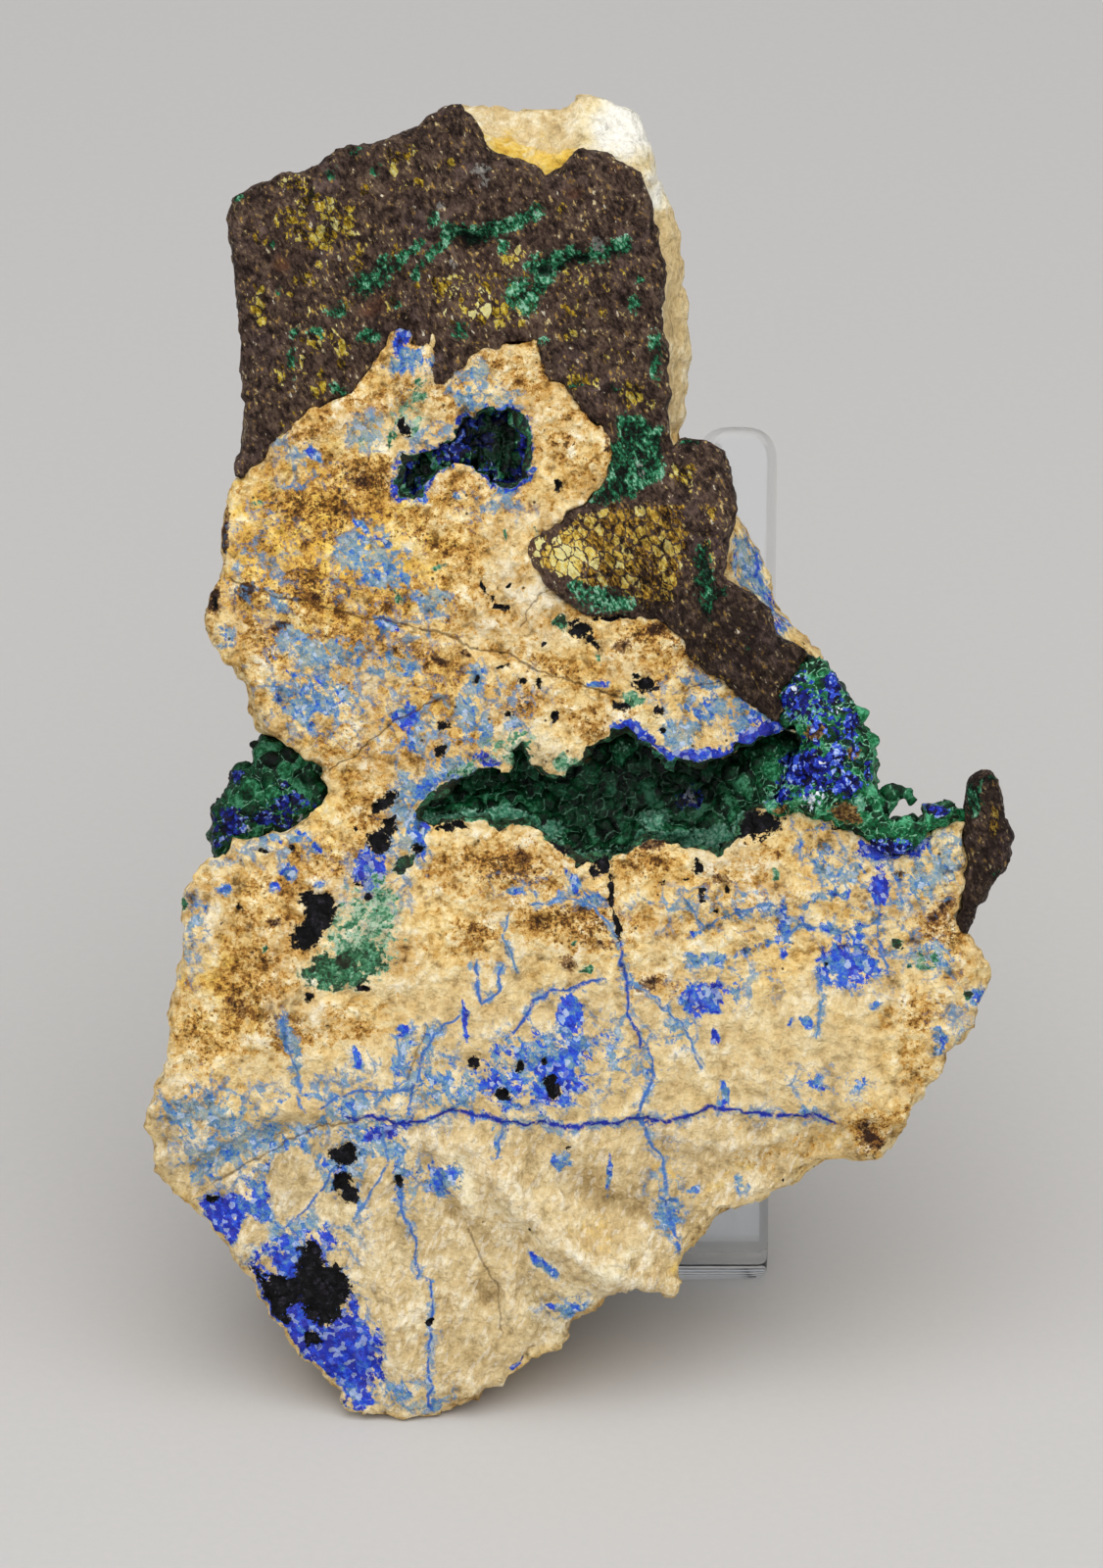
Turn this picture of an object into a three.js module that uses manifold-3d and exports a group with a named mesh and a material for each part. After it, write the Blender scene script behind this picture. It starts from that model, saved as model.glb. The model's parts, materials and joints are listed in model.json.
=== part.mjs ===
// A malachite and azurite specimen: a broken slab of cream host rock with its mineral growths, leaning
// back on a clear bent-sheet easel. Millimetres, +Z up, the viewer stands at -Y.
//
// The slab and its growths are made in face coordinates: u to the right, v up the face and w out of the
// face towards the viewer, with w = 0 at the level of the flat lower face. One group leans them all back.

import * as THREE from 'three'
import { mergeVertices } from 'three/addons/utils/BufferGeometryUtils.js'
import Module from 'manifold-3d'

// ---- driving dimensions -------------------------------------------------------------------------
const LEAN_BACK = THREE.MathUtils.degToRad(30)     // of the slab's face from the vertical
const SLAB_BACK = -18                              // mean level of the slab's back
const JOINT_GAP = 0.3                              // between two pieces that touch
const OPEN_FRONT = 14                              // a level well in front of every surface
const FAR_BACK = -34                               // a level well behind every surface

const CRUST_DEPTH = -4                             // level of the underside of each growth
const HORN_DEPTH = -7
const CLUSTER_DEPTH = -6.5
const RECESS_DEPTH = -9
const PIT_DEPTH = -5.5
const VUG_DEPTH = -11.5
const VUG_CEILING = -3.2                           // underside of the lip that overhangs the vug

const TABLE_CLEARANCE = 0.05                       // the slab's underside above the table
const TIP_V = 0.8                                  // the lowest corner of the slab's outline

const EASEL_SHEET = 3
const EASEL_BEND_RADIUS = 6                        // outside of the bend
const EASEL_SLOPE = THREE.MathUtils.degToRad(62.6) // of the back rest from the table
const EASEL_BEND_Y = 36.2                          // centre line of the bend, behind the slab's tip
const EASEL_REST_LENGTH = 90.4                     // straight back rest, from the bend to the arm tips
const EASEL_FOOT_LENGTH = 60
const EASEL_BASE_HALF = 24                         // half widths
const EASEL_TIP_HALF = 25.7
const EASEL_ARM_WIDTH = 9
const EASEL_ARM_ROOT = 44                          // height up the rest where the two arms part
const EASEL_ARM_ROUND = 3.9                        // corner radius of an arm's tip
const EASEL_BASE_ROUND = 3.2

// The part's origin stands under the middle of its box, on the table; these place the slab's tip.
const TIP_FROM_ORIGIN = new THREE.Vector3(-3.35, -50.2, 0)

const wasm = await Module()
wasm.setup()

// ---- closed meshes and booleans -----------------------------------------------------------------
function solidFrom(geometry) {
  const bare = geometry.index ? geometry.toNonIndexed() : geometry.clone()
  bare.deleteAttribute('normal')
  bare.deleteAttribute('uv')
  const merged = mergeVertices(bare, 1e-4)
  return new wasm.Manifold(new wasm.Mesh({
    numProp: 3,
    vertProperties: new Float32Array(merged.attributes.position.array),
    triVerts: new Uint32Array(merged.index.array),
  }))
}

function geometryFrom(solid) {
  const { vertProperties, triVerts } = solid.getMesh()
  const geometry = new THREE.BufferGeometry()
  geometry.setAttribute('position', new THREE.BufferAttribute(new Float32Array(vertProperties), 3))
  geometry.setIndex(new THREE.BufferAttribute(new Uint32Array(triVerts), 1))
  return geometry
}

// A closed skin through rings that hold the same number of points each, front ring first.
function loft(rings) {
  const count = rings[0].length
  const positions = rings.flatMap((ring) => ring.flatMap((p) => [p.x, p.y, p.z]))
  const faces = []
  for (let r = 0; r + 1 < rings.length; r += 1) {
    for (let i = 0; i < count; i += 1) {
      const j = (i + 1) % count
      const front = r * count
      const back = front + count
      faces.push(front + i, back + i, back + j)
      faces.push(front + i, back + j, front + j)
    }
  }
  const flat = (ring) => ring.map((p) => new THREE.Vector2(p.x, p.y))
  const last = (rings.length - 1) * count
  for (const [a, b, c] of THREE.ShapeUtils.triangulateShape(flat(rings[0]), [])) faces.push(a, b, c)
  for (const [a, b, c] of THREE.ShapeUtils.triangulateShape(flat(rings.at(-1)), [])) {
    faces.push(last + a, last + c, last + b)
  }
  const geometry = new THREE.BufferGeometry()
  geometry.setAttribute('position', new THREE.Float32BufferAttribute(positions, 3))
  geometry.setIndex(faces)
  return solidFrom(geometry)
}

function prism(outline, back, front) {
  const ring = (level) => outline.map(([u, v]) => new THREE.Vector3(u, v, level))
  return loft([ring(front), ring(back)])
}

// ---- natural roughness --------------------------------------------------------------------------
function scatter(i, j, seed) {
  const wave = Math.sin(i * 127.1 + j * 311.7 + seed * 74.7) * 43758.5453
  return (wave - Math.floor(wave)) * 2 - 1
}

function rough(u, v, size, seed) {
  const i = Math.floor(u / size)
  const j = Math.floor(v / size)
  const a = THREE.MathUtils.smootherstep(u / size - i, 0, 1)
  const b = THREE.MathUtils.smootherstep(v / size - j, 0, 1)
  const low = THREE.MathUtils.lerp(scatter(i, j, seed), scatter(i + 1, j, seed), a)
  const high = THREE.MathUtils.lerp(scatter(i, j + 1, seed), scatter(i + 1, j + 1, seed), a)
  return THREE.MathUtils.lerp(low, high, b)
}

// Round-topped swellings packed side by side, as ball-shaped malachite grows; 0 in the joints, 1 on top.
function balls(u, v, size, seed) {
  const i = Math.floor(u / size)
  const j = Math.floor(v / size)
  let top = 0
  for (let di = -1; di <= 1; di += 1) {
    for (let dj = -1; dj <= 1; dj += 1) {
      const cu = (i + di + 0.5 + 0.32 * scatter(i + di, j + dj, seed)) * size
      const cv = (j + dj + 0.5 + 0.32 * scatter(j + dj, i + di, seed + 1)) * size
      const away = Math.hypot(u - cu, v - cv) / (size * 0.75)
      top = Math.max(top, Math.sqrt(Math.max(0, 1 - away * away)))
    }
  }
  return top
}

function segmentDistance(u, v, [au, av], [bu, bv]) {
  const run = THREE.MathUtils.clamp(
    ((u - au) * (bu - au) + (v - av) * (bv - av)) / ((bu - au) ** 2 + (bv - av) ** 2), 0, 1)
  return Math.hypot(u - au - run * (bu - au), v - av - run * (bv - av))
}

function edgeDistance(outline, u, v) {
  return outline.reduce((nearest, point, i) =>
    Math.min(nearest, segmentDistance(u, v, point, outline[(i + 1) % outline.length])), Infinity)
}

// How far a surface has dropped at this distance from a rounded edge: 0 inside, 1 at the edge itself.
function rollOff(distance, reach) {
  const left = THREE.MathUtils.clamp(1 - distance / reach, 0, 1)
  return 1 - Math.sqrt(1 - left * left)
}

// A swelling of the surface around one point, 1 at its middle.
function swell(u, v, [cu, cv], [ru, rv]) {
  return Math.exp(-(((u - cu) / ru) ** 2) - ((v - cv) / rv) ** 2)
}

// A block over an outline's box whose front face follows a height formula and whose back is flat.
function reliefBlock(outline, step, height, back) {
  const box = new THREE.Box2().setFromPoints(outline.map(([u, v]) => new THREE.Vector2(u, v)))
  box.expandByScalar(2 * JOINT_GAP)
  const columns = Math.ceil((box.max.x - box.min.x) / step)
  const rows = Math.ceil((box.max.y - box.min.y) / step)
  const positions = []
  for (let j = 0; j <= rows; j += 1) {
    for (let i = 0; i <= columns; i += 1) {
      const inner = i > 0 && j > 0 && i < columns && j < rows ? 0.28 * step : 0
      const u = box.min.x + (i / columns) * (box.max.x - box.min.x) + inner * scatter(i, j, 3)
      const v = box.min.y + (j / rows) * (box.max.y - box.min.y) + inner * scatter(j, i, 5)
      positions.push(u, v, height(u, v))
    }
  }
  const at = (i, j) => j * (columns + 1) + i
  const faces = []
  for (let j = 0; j < rows; j += 1) {
    for (let i = 0; i < columns; i += 1) {
      faces.push(at(i, j), at(i + 1, j), at(i + 1, j + 1))
      faces.push(at(i, j), at(i + 1, j + 1), at(i, j + 1))
    }
  }
  const rim = []
  for (let i = 0; i < columns; i += 1) rim.push(at(i, 0))
  for (let j = 0; j < rows; j += 1) rim.push(at(columns, j))
  for (let i = columns; i > 0; i -= 1) rim.push(at(i, rows))
  for (let j = rows; j > 0; j -= 1) rim.push(at(0, j))
  const skirt = positions.length / 3
  for (const index of rim) positions.push(positions[index * 3], positions[index * 3 + 1], back)
  const middle = positions.length / 3
  positions.push((box.min.x + box.max.x) / 2, (box.min.y + box.max.y) / 2, back)
  rim.forEach((index, k) => {
    const next = (k + 1) % rim.length
    faces.push(index, skirt + k, skirt + next)
    faces.push(index, skirt + next, rim[next])
    faces.push(middle, skirt + next, skirt + k)
  })
  const geometry = new THREE.BufferGeometry()
  geometry.setAttribute('position', new THREE.Float32BufferAttribute(positions, 3))
  geometry.setIndex(faces)
  return solidFrom(geometry)
}

// The same outline with every corner moved outwards.
function grown(outline, by) {
  const count = outline.length
  return outline.map(([u, v], i) => {
    const [pu, pv] = outline[(i + count - 1) % count]
    const [nu, nv] = outline[(i + 1) % count]
    const before = new THREE.Vector2(v - pv, pu - u).normalize()
    const after = new THREE.Vector2(nv - v, u - nu).normalize()
    const out = before.clone().add(after)
    const reach = by / Math.max(0.55, out.length() / 2)
    out.normalize().multiplyScalar(reach)
    return [u + out.x, v + out.y]
  })
}

// One growth: its outline sunk to a depth, with a rough front; and the hole it needs in its neighbours.
function growth(outline, depth, step, height) {
  return prism(outline, depth, OPEN_FRONT).intersect(reliefBlock(outline, step, height, FAR_BACK))
}

function socket(outline, depth) {
  return prism(grown(outline, JOINT_GAP), depth - JOINT_GAP, OPEN_FRONT + 1)
}

// ---- outlines in the face, anticlockwise, [u, v] ------------------------------------------------
// The slab's outline. Two more numbers give the shift from the widest outline, which lies towards the
// back, to the edge of the front face, where the broken side slants and can be seen from the front.
const SLAB_OUTLINE = [
  // from the lowest corner to the right, along the underside
  [-17.8, TIP_V], [-16, 2], [-14.5, 2.4], [-13, 3], [-12.3, 4.2], [-10.6, 5.3], [-9, 4.9], [-7.2, 6.4],
  [-5.5, 7], [-3.9, 8], [-1.6, 9.8], [0.2, 11.1], [1.5, 12.1], [3, 14.3], [5, 15.2], [6.6, 16.6],
  [8, 17.6], [10.5, 18.2], [12.4, 17.9], [14.2, 16.7], [14.8, 18.5], [15.1, 21.2], [16.4, 23.1],
  [18, 23.8], [18.8, 25.6], [20.3, 26.7], [22.3, 27.2], [24.3, 28.4], [26.8, 30], [29.5, 31],
  [31.2, 32.2], [34.3, 32.8], [35.4, 32.1], [36.6, 32.1], [38, 33.8], [39.4, 35.8], [40.5, 38],
  [41.3, 40.3], [43.2, 42.2], [45.6, 45], [47.2, 47.2], [48.4, 49.9], [48.9, 51.8], [48.4, 53.8],
  [47.4, 55.4], [46.5, 57],
  // behind the horn, along the rim, and behind the right cluster
  [46.6, 58.8], [47, 61.4], [48, 64], [48.3, 67], [47.6, 69.6], [46.1, 70.1], [43.4, 69.9],
  [42.3, 68.8], [40.3, 67.2], [38.2, 66.4], [36.6, 67.4], [35.2, 69.6], [34.4, 73], [34.2, 77],
  [33, 80.5], [31.4, 83.5], [30.6, 86.4],
  // the slanted side behind the wing
  [30.8, 87.8, -1, -0.8], [30.2, 88.9, -2, -1.4], [29.2, 90.2, -2.6, -1.6], [28.2, 91.4, -3, -2],
  [26.8, 92.7, -2.2, -1.4], [25.5, 93.9, -1.8, -1], [24.8, 95.2, -3.5, -0.6], [24.8, 97, -5.5, -1],
  [24.1, 98.8, -4.8, -0.8], [23.3, 100.6, -3.6, -0.6], [23, 101.9, -3, -1], [21.9, 103.3, -2.2, -1.5],
  [20.6, 104.4, -1, 0], [18.8, 105.5, -1, -0.5], [17, 107.5, -1, -1], [15.6, 110, -1, -1],
  [14.4, 111.6, -1.3, -0.6],
  // the slanted right side and the broken top
  [14.9, 113.8, -2, 0], [15.3, 116.6, -2.1, 0], [16, 120.4, -3, 0], [16, 122.8, -3.2, -0.3],
  [15.4, 126.4, -2.9, -0.4], [15.1, 130, -2.4, 0], [14.9, 134, -2.9, -1.4], [14.5, 136.5, -2.9, -2.5],
  [13.4, 139, -1.9, -3.5], [12.4, 140.4, -1.1, -3.4], [12, 142.2, -1, -4], [11.5, 145, -1, -5.2],
  [10.3, 148, -0.4, -6.8], [9.4, 149.5, -0.2, -7.4], [7.6, 149.4, 0.2, -7], [6, 150, 0.2, -6.3],
  [4.4, 150.9, -0.1, -7], [2.8, 149.4, -0.4, -7.4], [0, 149, -0.5, -7.7], [-4, 149, -1, -5.7],
  [-7.5, 149.4, -0.5, -3.9], [-10.1, 149.3, 0.4, -1.2],
  // under the crust, down the left side
  [-11.6, 148], [-14.4, 146.2], [-16.2, 145], [-19.8, 144.1], [-22.4, 143.4], [-26.8, 141.1],
  [-29.2, 140.2], [-32, 139.3], [-34.4, 138], [-34.7, 135], [-33.8, 130], [-33.3, 124], [-32.9, 117],
  [-33.1, 112.5], [-34, 109], [-34.9, 107.2], [-35.6, 105.7], [-36.3, 103.9], [-36.1, 99.2],
  [-35.8, 97.2], [-36.9, 95.6], [-37.8, 92.6], [-37.2, 90.2], [-36, 88], [-33.5, 85.7],
  [-33.1, 83.2], [-32, 80.5], [-31.4, 79.4],
  // behind the left cluster
  [-31.4, 77.5], [-31.2, 75.8], [-33.2, 73.8], [-34.8, 71], [-35.9, 68.5], [-36.2, 66],
  // the left edge of the lower face, back to the lowest corner
  [-38.4, 64.6], [-40.3, 62.6], [-40.9, 60.8], [-40.4, 57.8], [-40.9, 54], [-42.1, 50.2],
  [-41.7, 47.6], [-41.5, 44.4], [-42.7, 41.4], [-43.9, 37.6], [-44.3, 32.2], [-43.6, 30.6],
  [-41, 28.5], [-38.8, 26], [-36.6, 23.1], [-34, 20], [-32.2, 17.6], [-30.9, 14.2], [-28.6, 11.1],
  [-25.6, 8.5], [-23.6, 6.6], [-22.4, 4.2], [-20, 1.8],
]

// A line up the middle of the slab, towards which its sides close in.
const SLAB_SPINE = [[-6, 30], [-4, 60], [-8, 92], [-10, 118], [-10, 130]]

const CRUST_OUTLINE = [
  // the boundary with the upper cream face, from the left edge to the right
  [-34.9, 107.2], [-33.4, 109], [-32.2, 110.3], [-30.8, 112.2], [-28.6, 113], [-27.9, 114.2],
  [-25.2, 115.8], [-23.8, 117], [-21.2, 118.6], [-19.8, 120.4], [-18.4, 122.5], [-17.2, 124.6],
  [-15.4, 124.2], [-14.9, 122.4], [-13.4, 122.4], [-12.4, 125.2], [-11.7, 123.6], [-12.9, 121.6],
  [-13.4, 119.2], [-12, 117.9], [-11, 119.8], [-8.2, 121.8], [-4.4, 123], [-2.4, 123.2],
  [-1.3, 124.4], [-0.8, 122.6], [-1, 121.2], [0.4, 119.2], [2.4, 118.3], [4, 116.2], [4.4, 114.9],
  [6.2, 113.8], [7.2, 112], [7.1, 109.2], [6.4, 107], [4.7, 105.2], [2.3, 103.4], [0.2, 101.8],
  [-1.4, 100.9],
  // the wing's tip and its lower edge
  [-2.4, 99.7], [-1.6, 98], [-0.4, 96.6], [0.9, 95.2], [2.6, 94.4], [4.3, 93], [7, 92.8], [9.8, 92.9],
  [12.2, 92.3], [14, 91], [15.1, 90.3], [16, 88.6], [16.8, 87.6], [18.4, 86.7], [19.7, 85.7],
  [20.6, 84.5], [22.2, 83.3], [23.6, 82], [25.2, 81], [26.1, 81.6], [26.1, 83], [25.7, 84.6],
  [26.9, 86.3], [28.2, 88],
  // the wing's right edge
  [27.4, 88.9], [24.9, 89.3], [24.7, 91.5], [24.5, 92.8], [23.2, 94.2], [21.4, 95.3], [19.6, 96],
  [18.9, 97], [19.4, 99.2], [19.9, 101.6], [20.4, 104], [20.4, 105.6], [19.8, 107.6], [19.5, 109.6],
  [18.5, 110.9], [16.9, 111.6], [15.3, 111.9], [14.4, 111.3], [14.1, 110.5], [13.1, 110.9],
  // the right edge of the cap and its top, along the slanted broken sides
  [12.9, 113], [13.2, 117], [13, 120], [12.8, 122.5], [12.5, 126], [12.7, 130], [12.6, 131.6],
  [12, 132.6], [11.6, 134], [11.5, 135.5], [11.3, 137], [11, 138.2], [10.5, 139.8], [9.9, 141.2],
  [9.2, 142.1], [7.8, 142.4], [6.2, 143.7], [4.3, 143.9], [2.7, 142.9], [2.4, 142], [-0.5, 141.3],
  [-2, 142], [-5, 143.3], [-6.6, 144.2], [-8, 145.5], [-8.4, 147.6], [-9.7, 148.1], [-10.2, 149.1],
  [-11.2, 148.9], [-12.6, 148], [-14.6, 146.7], [-16, 145.6], [-19.8, 144.7], [-22.2, 144.1],
  [-25, 142.8], [-27, 141.6], [-29.2, 140.8], [-32, 140.1], [-33.6, 139.5], [-35.2, 138.6],
  [-35.3, 134.8], [-34.8, 133], [-34.1, 128], [-33.9, 120.5], [-33.3, 116], [-33.5, 112],
  [-34.3, 108.8],
]

const HORN_OUTLINE = [
  [46.3, 57], [47.3, 60.3], [48, 61.5], [49.2, 62.9], [50.1, 64.2], [50.8, 66], [51, 67.6],
  [50.6, 69.2], [50, 70.6], [49.9, 73], [49.2, 74.7], [48.3, 75.4], [47.4, 74.9], [46.7, 73.6],
  [46.5, 72.2], [46.9, 71.4], [46.4, 70.9], [46.2, 69], [46.4, 66.8], [46.8, 64.6], [46.5, 62.2],
  [46.1, 60], [45.9, 58.2],
]

// The mouth of the vug in the face.
const VUG_MOUTH = [
  [-14.2, 71], [-13.4, 70], [-10, 69.8], [-6, 70.1], [-2.5, 70], [-1.4, 69], [0.6, 67.2], [3.2, 65.8],
  [5.4, 65.3], [7.6, 65.8], [9.8, 66.9], [10.8, 68.1], [12.4, 68.4], [14.4, 67.8], [16.8, 66.9],
  [18.6, 66.9], [20.4, 68], [22.4, 69.9], [23.4, 70.9], [24.6, 72], [26.2, 72.9], [26.8, 74.2],
  [26.7, 75.8], [27.4, 77.4], [28.1, 78.8], [27.2, 79.8], [25.6, 79.4], [23.2, 78.9], [21.2, 77.6],
  [19, 76.6], [17, 76.1], [14.3, 76], [13, 75.8], [11.5, 77.4], [9.2, 79.5], [7.6, 79.6],
  [6.2, 79.2], [5.4, 78.2], [4.7, 76.8], [2.8, 76], [1.2, 74.5], [-1.4, 75.3], [-1.8, 77],
  [-2.6, 78.4], [-3.8, 78.2], [-4.2, 76.8], [-4.4, 75.3], [-6.6, 75.2], [-8.4, 74.9],
  [-10.8, 73.4], [-12.8, 72.6],
]

// The vug behind its mouth, which runs on under the upper lip.
const VUG_CAVITY = [
  [-15, 70.8], [-13.6, 69.6], [-10, 69.4], [-6, 69.7], [-2.6, 69.6], [-1.6, 68.6], [0.4, 66.8],
  [3.1, 65.4], [5.4, 64.9], [7.8, 65.4], [10, 66.5], [11, 67.7], [12.4, 68], [14.3, 67.4],
  [16.7, 66.5], [18.7, 66.5], [20.6, 67.6], [22.6, 69.5], [23.7, 70.6], [24.9, 71.6], [26.5, 72.6],
  [27.2, 74.1], [27.1, 75.7], [27.8, 77.2], [28.4, 78.9], [27.2, 80.1], [25.4, 79.9], [23.4, 80.6],
  [20.6, 80], [17, 79], [14, 79], [12.6, 80.2], [9.6, 82], [6, 82], [3.6, 80.6], [1, 78.6],
  [0, 79.6], [-2, 81], [-5, 80.6], [-7, 78.2], [-9.6, 77.8], [-12.4, 76], [-14.8, 73.6],
]

const PIT_OUTLINE = [
  [-16.2, 106.3], [-15, 106.1], [-14, 107.2], [-12.8, 108.5], [-11.4, 109.6], [-9.6, 110.4],
  [-8.6, 110], [-7.2, 109.5], [-6, 108], [-4.5, 107.2], [-3.3, 107.7], [-2.9, 109.4],
  [-2.7, 111.4], [-2.6, 112.8], [-3.1, 114], [-4.2, 114.8], [-5.6, 115.2], [-7.2, 115],
  [-8.6, 114], [-9.8, 113], [-10.3, 111.9], [-11.7, 110.7], [-13.2, 110.1], [-14.9, 109.8],
  [-16.4, 109], [-16.7, 107.6],
]

const LEFT_CLUSTER_OUTLINE = [
  [-36.7, 65.2], [-35.6, 65.6], [-34.6, 66.9], [-33, 68.2], [-30.6, 69], [-29, 69.2], [-27.4, 70.4],
  [-25.2, 71.7], [-24.8, 73.2], [-25.3, 74.6], [-24.9, 76], [-26.6, 77.2], [-28.4, 77.9],
  [-30.2, 78.6], [-31.4, 79.4], [-32.4, 78.2], [-32.3, 76.4], [-31.9, 75.1], [-33.2, 75.1],
  [-34.4, 75.7], [-35.4, 75.2], [-35.5, 74.4], [-35.1, 73], [-35.9, 72], [-36.3, 70.8],
  [-37.4, 69.6], [-37.6, 68.4], [-37.3, 67.4], [-37.5, 66.6], [-36.6, 66],
]

// The right cluster, with the rim along the slab's edge and the hook that curls up from it.
const RIGHT_CLUSTER_OUTLINE = [
  [23.8, 70.5], [25.6, 70.7], [27.5, 71.4], [29.4, 70.1], [31.5, 70.1], [33.5, 69.2], [34.9, 68.8],
  [36.2, 67.5], [37.2, 66.7], [38.6, 66.2], [39.6, 66.5], [40.6, 67.4], [41.8, 68.4], [42.6, 69.3],
  [43.5, 70], [46, 70.2], [46, 71.4], [44.8, 71.2], [43.4, 71.4], [41.9, 71.3], [42.1, 70.4],
  [40.8, 69.6], [39.6, 68.9], [38.7, 68.7], [38.6, 70], [39.4, 70.5], [40.3, 70.8], [40.4, 71.6],
  [39.9, 72.6], [38.9, 72.9], [37.7, 72.7], [36.8, 71.9], [36.4, 72.6], [36.2, 74.6], [36, 76.8],
  [35.7, 78.4], [34.8, 79.7], [34.4, 80.6], [34.5, 81.5], [33.8, 82.8], [32.5, 83.2], [32.2, 84.3],
  [31.6, 85.6], [31.2, 86.5], [30.7, 87.3], [29.4, 87.8], [28.6, 87.9], [27.3, 86.2], [26.1, 84.6],
  [26.5, 83], [26.5, 81.5], [27.6, 80.4], [28.8, 78.9], [27.9, 77.2], [27.1, 75.8], [27.2, 74.1],
  [26.5, 72.6], [24.9, 71.5],
]

// ---- the growths --------------------------------------------------------------------------------
const COBBLE = 7                                   // size of the slab's broken unevenness
const BALL = 2.6                                   // width of one malachite ball

function crustHeight(u, v) {
  const rim = rollOff(edgeDistance(CRUST_OUTLINE, u, v), 1.8)
  const goldBoss = 1.6 * swell(u, v, [6, 99], [9, 6])
  const rightLimb = 1.4 * swell(u, v, [21, 90], [5, 8]) + 1.2 * swell(u, v, [16.5, 106], [4, 6])
  const diagonalStep = 0.7 * Math.tanh((v - 128 - 0.35 * u) / 2)
  return 1.2 + goldBoss + rightLimb + diagonalStep * swell(u, v, [-5, 130], [16, 9])
    + 0.5 * rough(u, v, COBBLE, 11) + 0.35 * rough(u, v, 3, 12) - 2 * rim
}

function liningHeight(u, v) {
  const rimLift = 5.6 * Math.exp(-edgeDistance(VUG_LOWER_RIM, u, v) / 1.6)
  const rightMass = 3.8 * swell(u, v, [24.5, 75.5], [3.6, 4.5]) + 1.6 * swell(u, v, [20, 72], [5, 3])
  const upperMass = 1.6 * swell(u, v, [6, 77.5], [4, 2.6])
  return -7.6 + rimLift + rightMass + upperMass + 1.1 * balls(u, v, BALL, 21)
    + 0.4 * rough(u, v, 4, 22)
}

function leftClusterHeight(u, v) {
  return -3 + 1.6 * balls(u, v, 3, 31) + 1.2 * rough(u, v, 3.4, 32)
    - 1.4 * rollOff(edgeDistance(LEFT_CLUSTER_OUTLINE, u, v), 1.6)
}

function rightClusterHeight(u, v) {
  const body = 2.4 * swell(u, v, [31, 78], [4, 6])
  return 0.4 + body + 1.2 * balls(u, v, BALL, 41) + 0.5 * rough(u, v, 2, 42)
    - 1.8 * rollOff(edgeDistance(RIGHT_CLUSTER_OUTLINE, u, v), 1.3)
}

function hornHeight(u, v) {
  return 1 + 0.8 * rough(u, v, 4, 51) - 2.2 * rollOff(edgeDistance(HORN_OUTLINE, u, v), 2)
}

function pitHeight(u, v) {
  return -3.4 + 0.9 * balls(u, v, 2, 61) + 1.4 * rollOff(edgeDistance(PIT_OUTLINE, u, v), 1.4)
}

const LOWER_RIM_POINTS = 23                        // of the vug's mouth, from its left end
const VUG_LOWER_RIM = VUG_MOUTH.slice(0, LOWER_RIM_POINTS)
VUG_LOWER_RIM.push(...[...VUG_LOWER_RIM].reverse().slice(1, -1))

const clusterSocket = socket(RIGHT_CLUSTER_OUTLINE, FAR_BACK)

const rightCluster = growth(RIGHT_CLUSTER_OUTLINE, CLUSTER_DEPTH, 1.25, rightClusterHeight)
const leftCluster = growth(LEFT_CLUSTER_OUTLINE, RECESS_DEPTH, 1.4, leftClusterHeight)
const crust = growth(CRUST_OUTLINE, CRUST_DEPTH, 2.9, crustHeight).subtract(clusterSocket)
const horn = growth(HORN_OUTLINE, HORN_DEPTH, 1.6, hornHeight).subtract(clusterSocket)
const pitDruse = growth(PIT_OUTLINE, PIT_DEPTH, 1.2, pitHeight)

// The lining fills the cavity under the lip, and comes out through the mouth.
const lining = prism(VUG_CAVITY, VUG_DEPTH, VUG_CEILING - JOINT_GAP)
  .add(prism(grown(VUG_MOUTH, -JOINT_GAP), VUG_DEPTH, OPEN_FRONT))
  .intersect(reliefBlock(VUG_CAVITY, 1.35, liningHeight, FAR_BACK))
  .subtract(clusterSocket)

// ---- the host rock slab -------------------------------------------------------------------------
function nearestOnSpine(u, v) {
  let best = null
  let nearest = Infinity
  for (let i = 0; i + 1 < SLAB_SPINE.length; i += 1) {
    const [a, b] = [SLAB_SPINE[i], SLAB_SPINE[i + 1]]
    const run = THREE.MathUtils.clamp(
      ((u - a[0]) * (b[0] - a[0]) + (v - a[1]) * (b[1] - a[1])) / ((b[0] - a[0]) ** 2 + (b[1] - a[1]) ** 2),
      0, 1)
    const point = [a[0] + run * (b[0] - a[0]), a[1] + run * (b[1] - a[1])]
    const away = Math.hypot(u - point[0], v - point[1])
    if (away < nearest) {
      nearest = away
      best = point
    }
  }
  return best
}

// The least v that a point of the slab may have at a level, so that the slab stays above the table.
function lowestV(level) {
  const tipHeight = TIP_V * Math.cos(LEAN_BACK)
  return (tipHeight + TABLE_CLEARANCE * Math.min(1, -level) - level * Math.sin(LEAN_BACK)) / Math.cos(LEAN_BACK)
}

// One ring of the slab's side: how far it has closed in on the spine, and how far it slants back out.
function slabRing(level, closing, slantClosing, slant) {
  return SLAB_OUTLINE.map(([u, v, shiftU = 0, shiftV = 0]) => {
    const spine = nearestOnSpine(u, v)
    const slanted = shiftU !== 0 || shiftV !== 0
    const needed = (lowestV(level) - v) / Math.max(1, spine[1] - v)
    const close = Math.max(slanted ? slantClosing : closing, level < 0 ? needed : 0)
    return new THREE.Vector3(
      THREE.MathUtils.lerp(u + slant * shiftU, spine[0], close),
      THREE.MathUtils.lerp(v + slant * shiftV, spine[1], close),
      level)
  })
}

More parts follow.
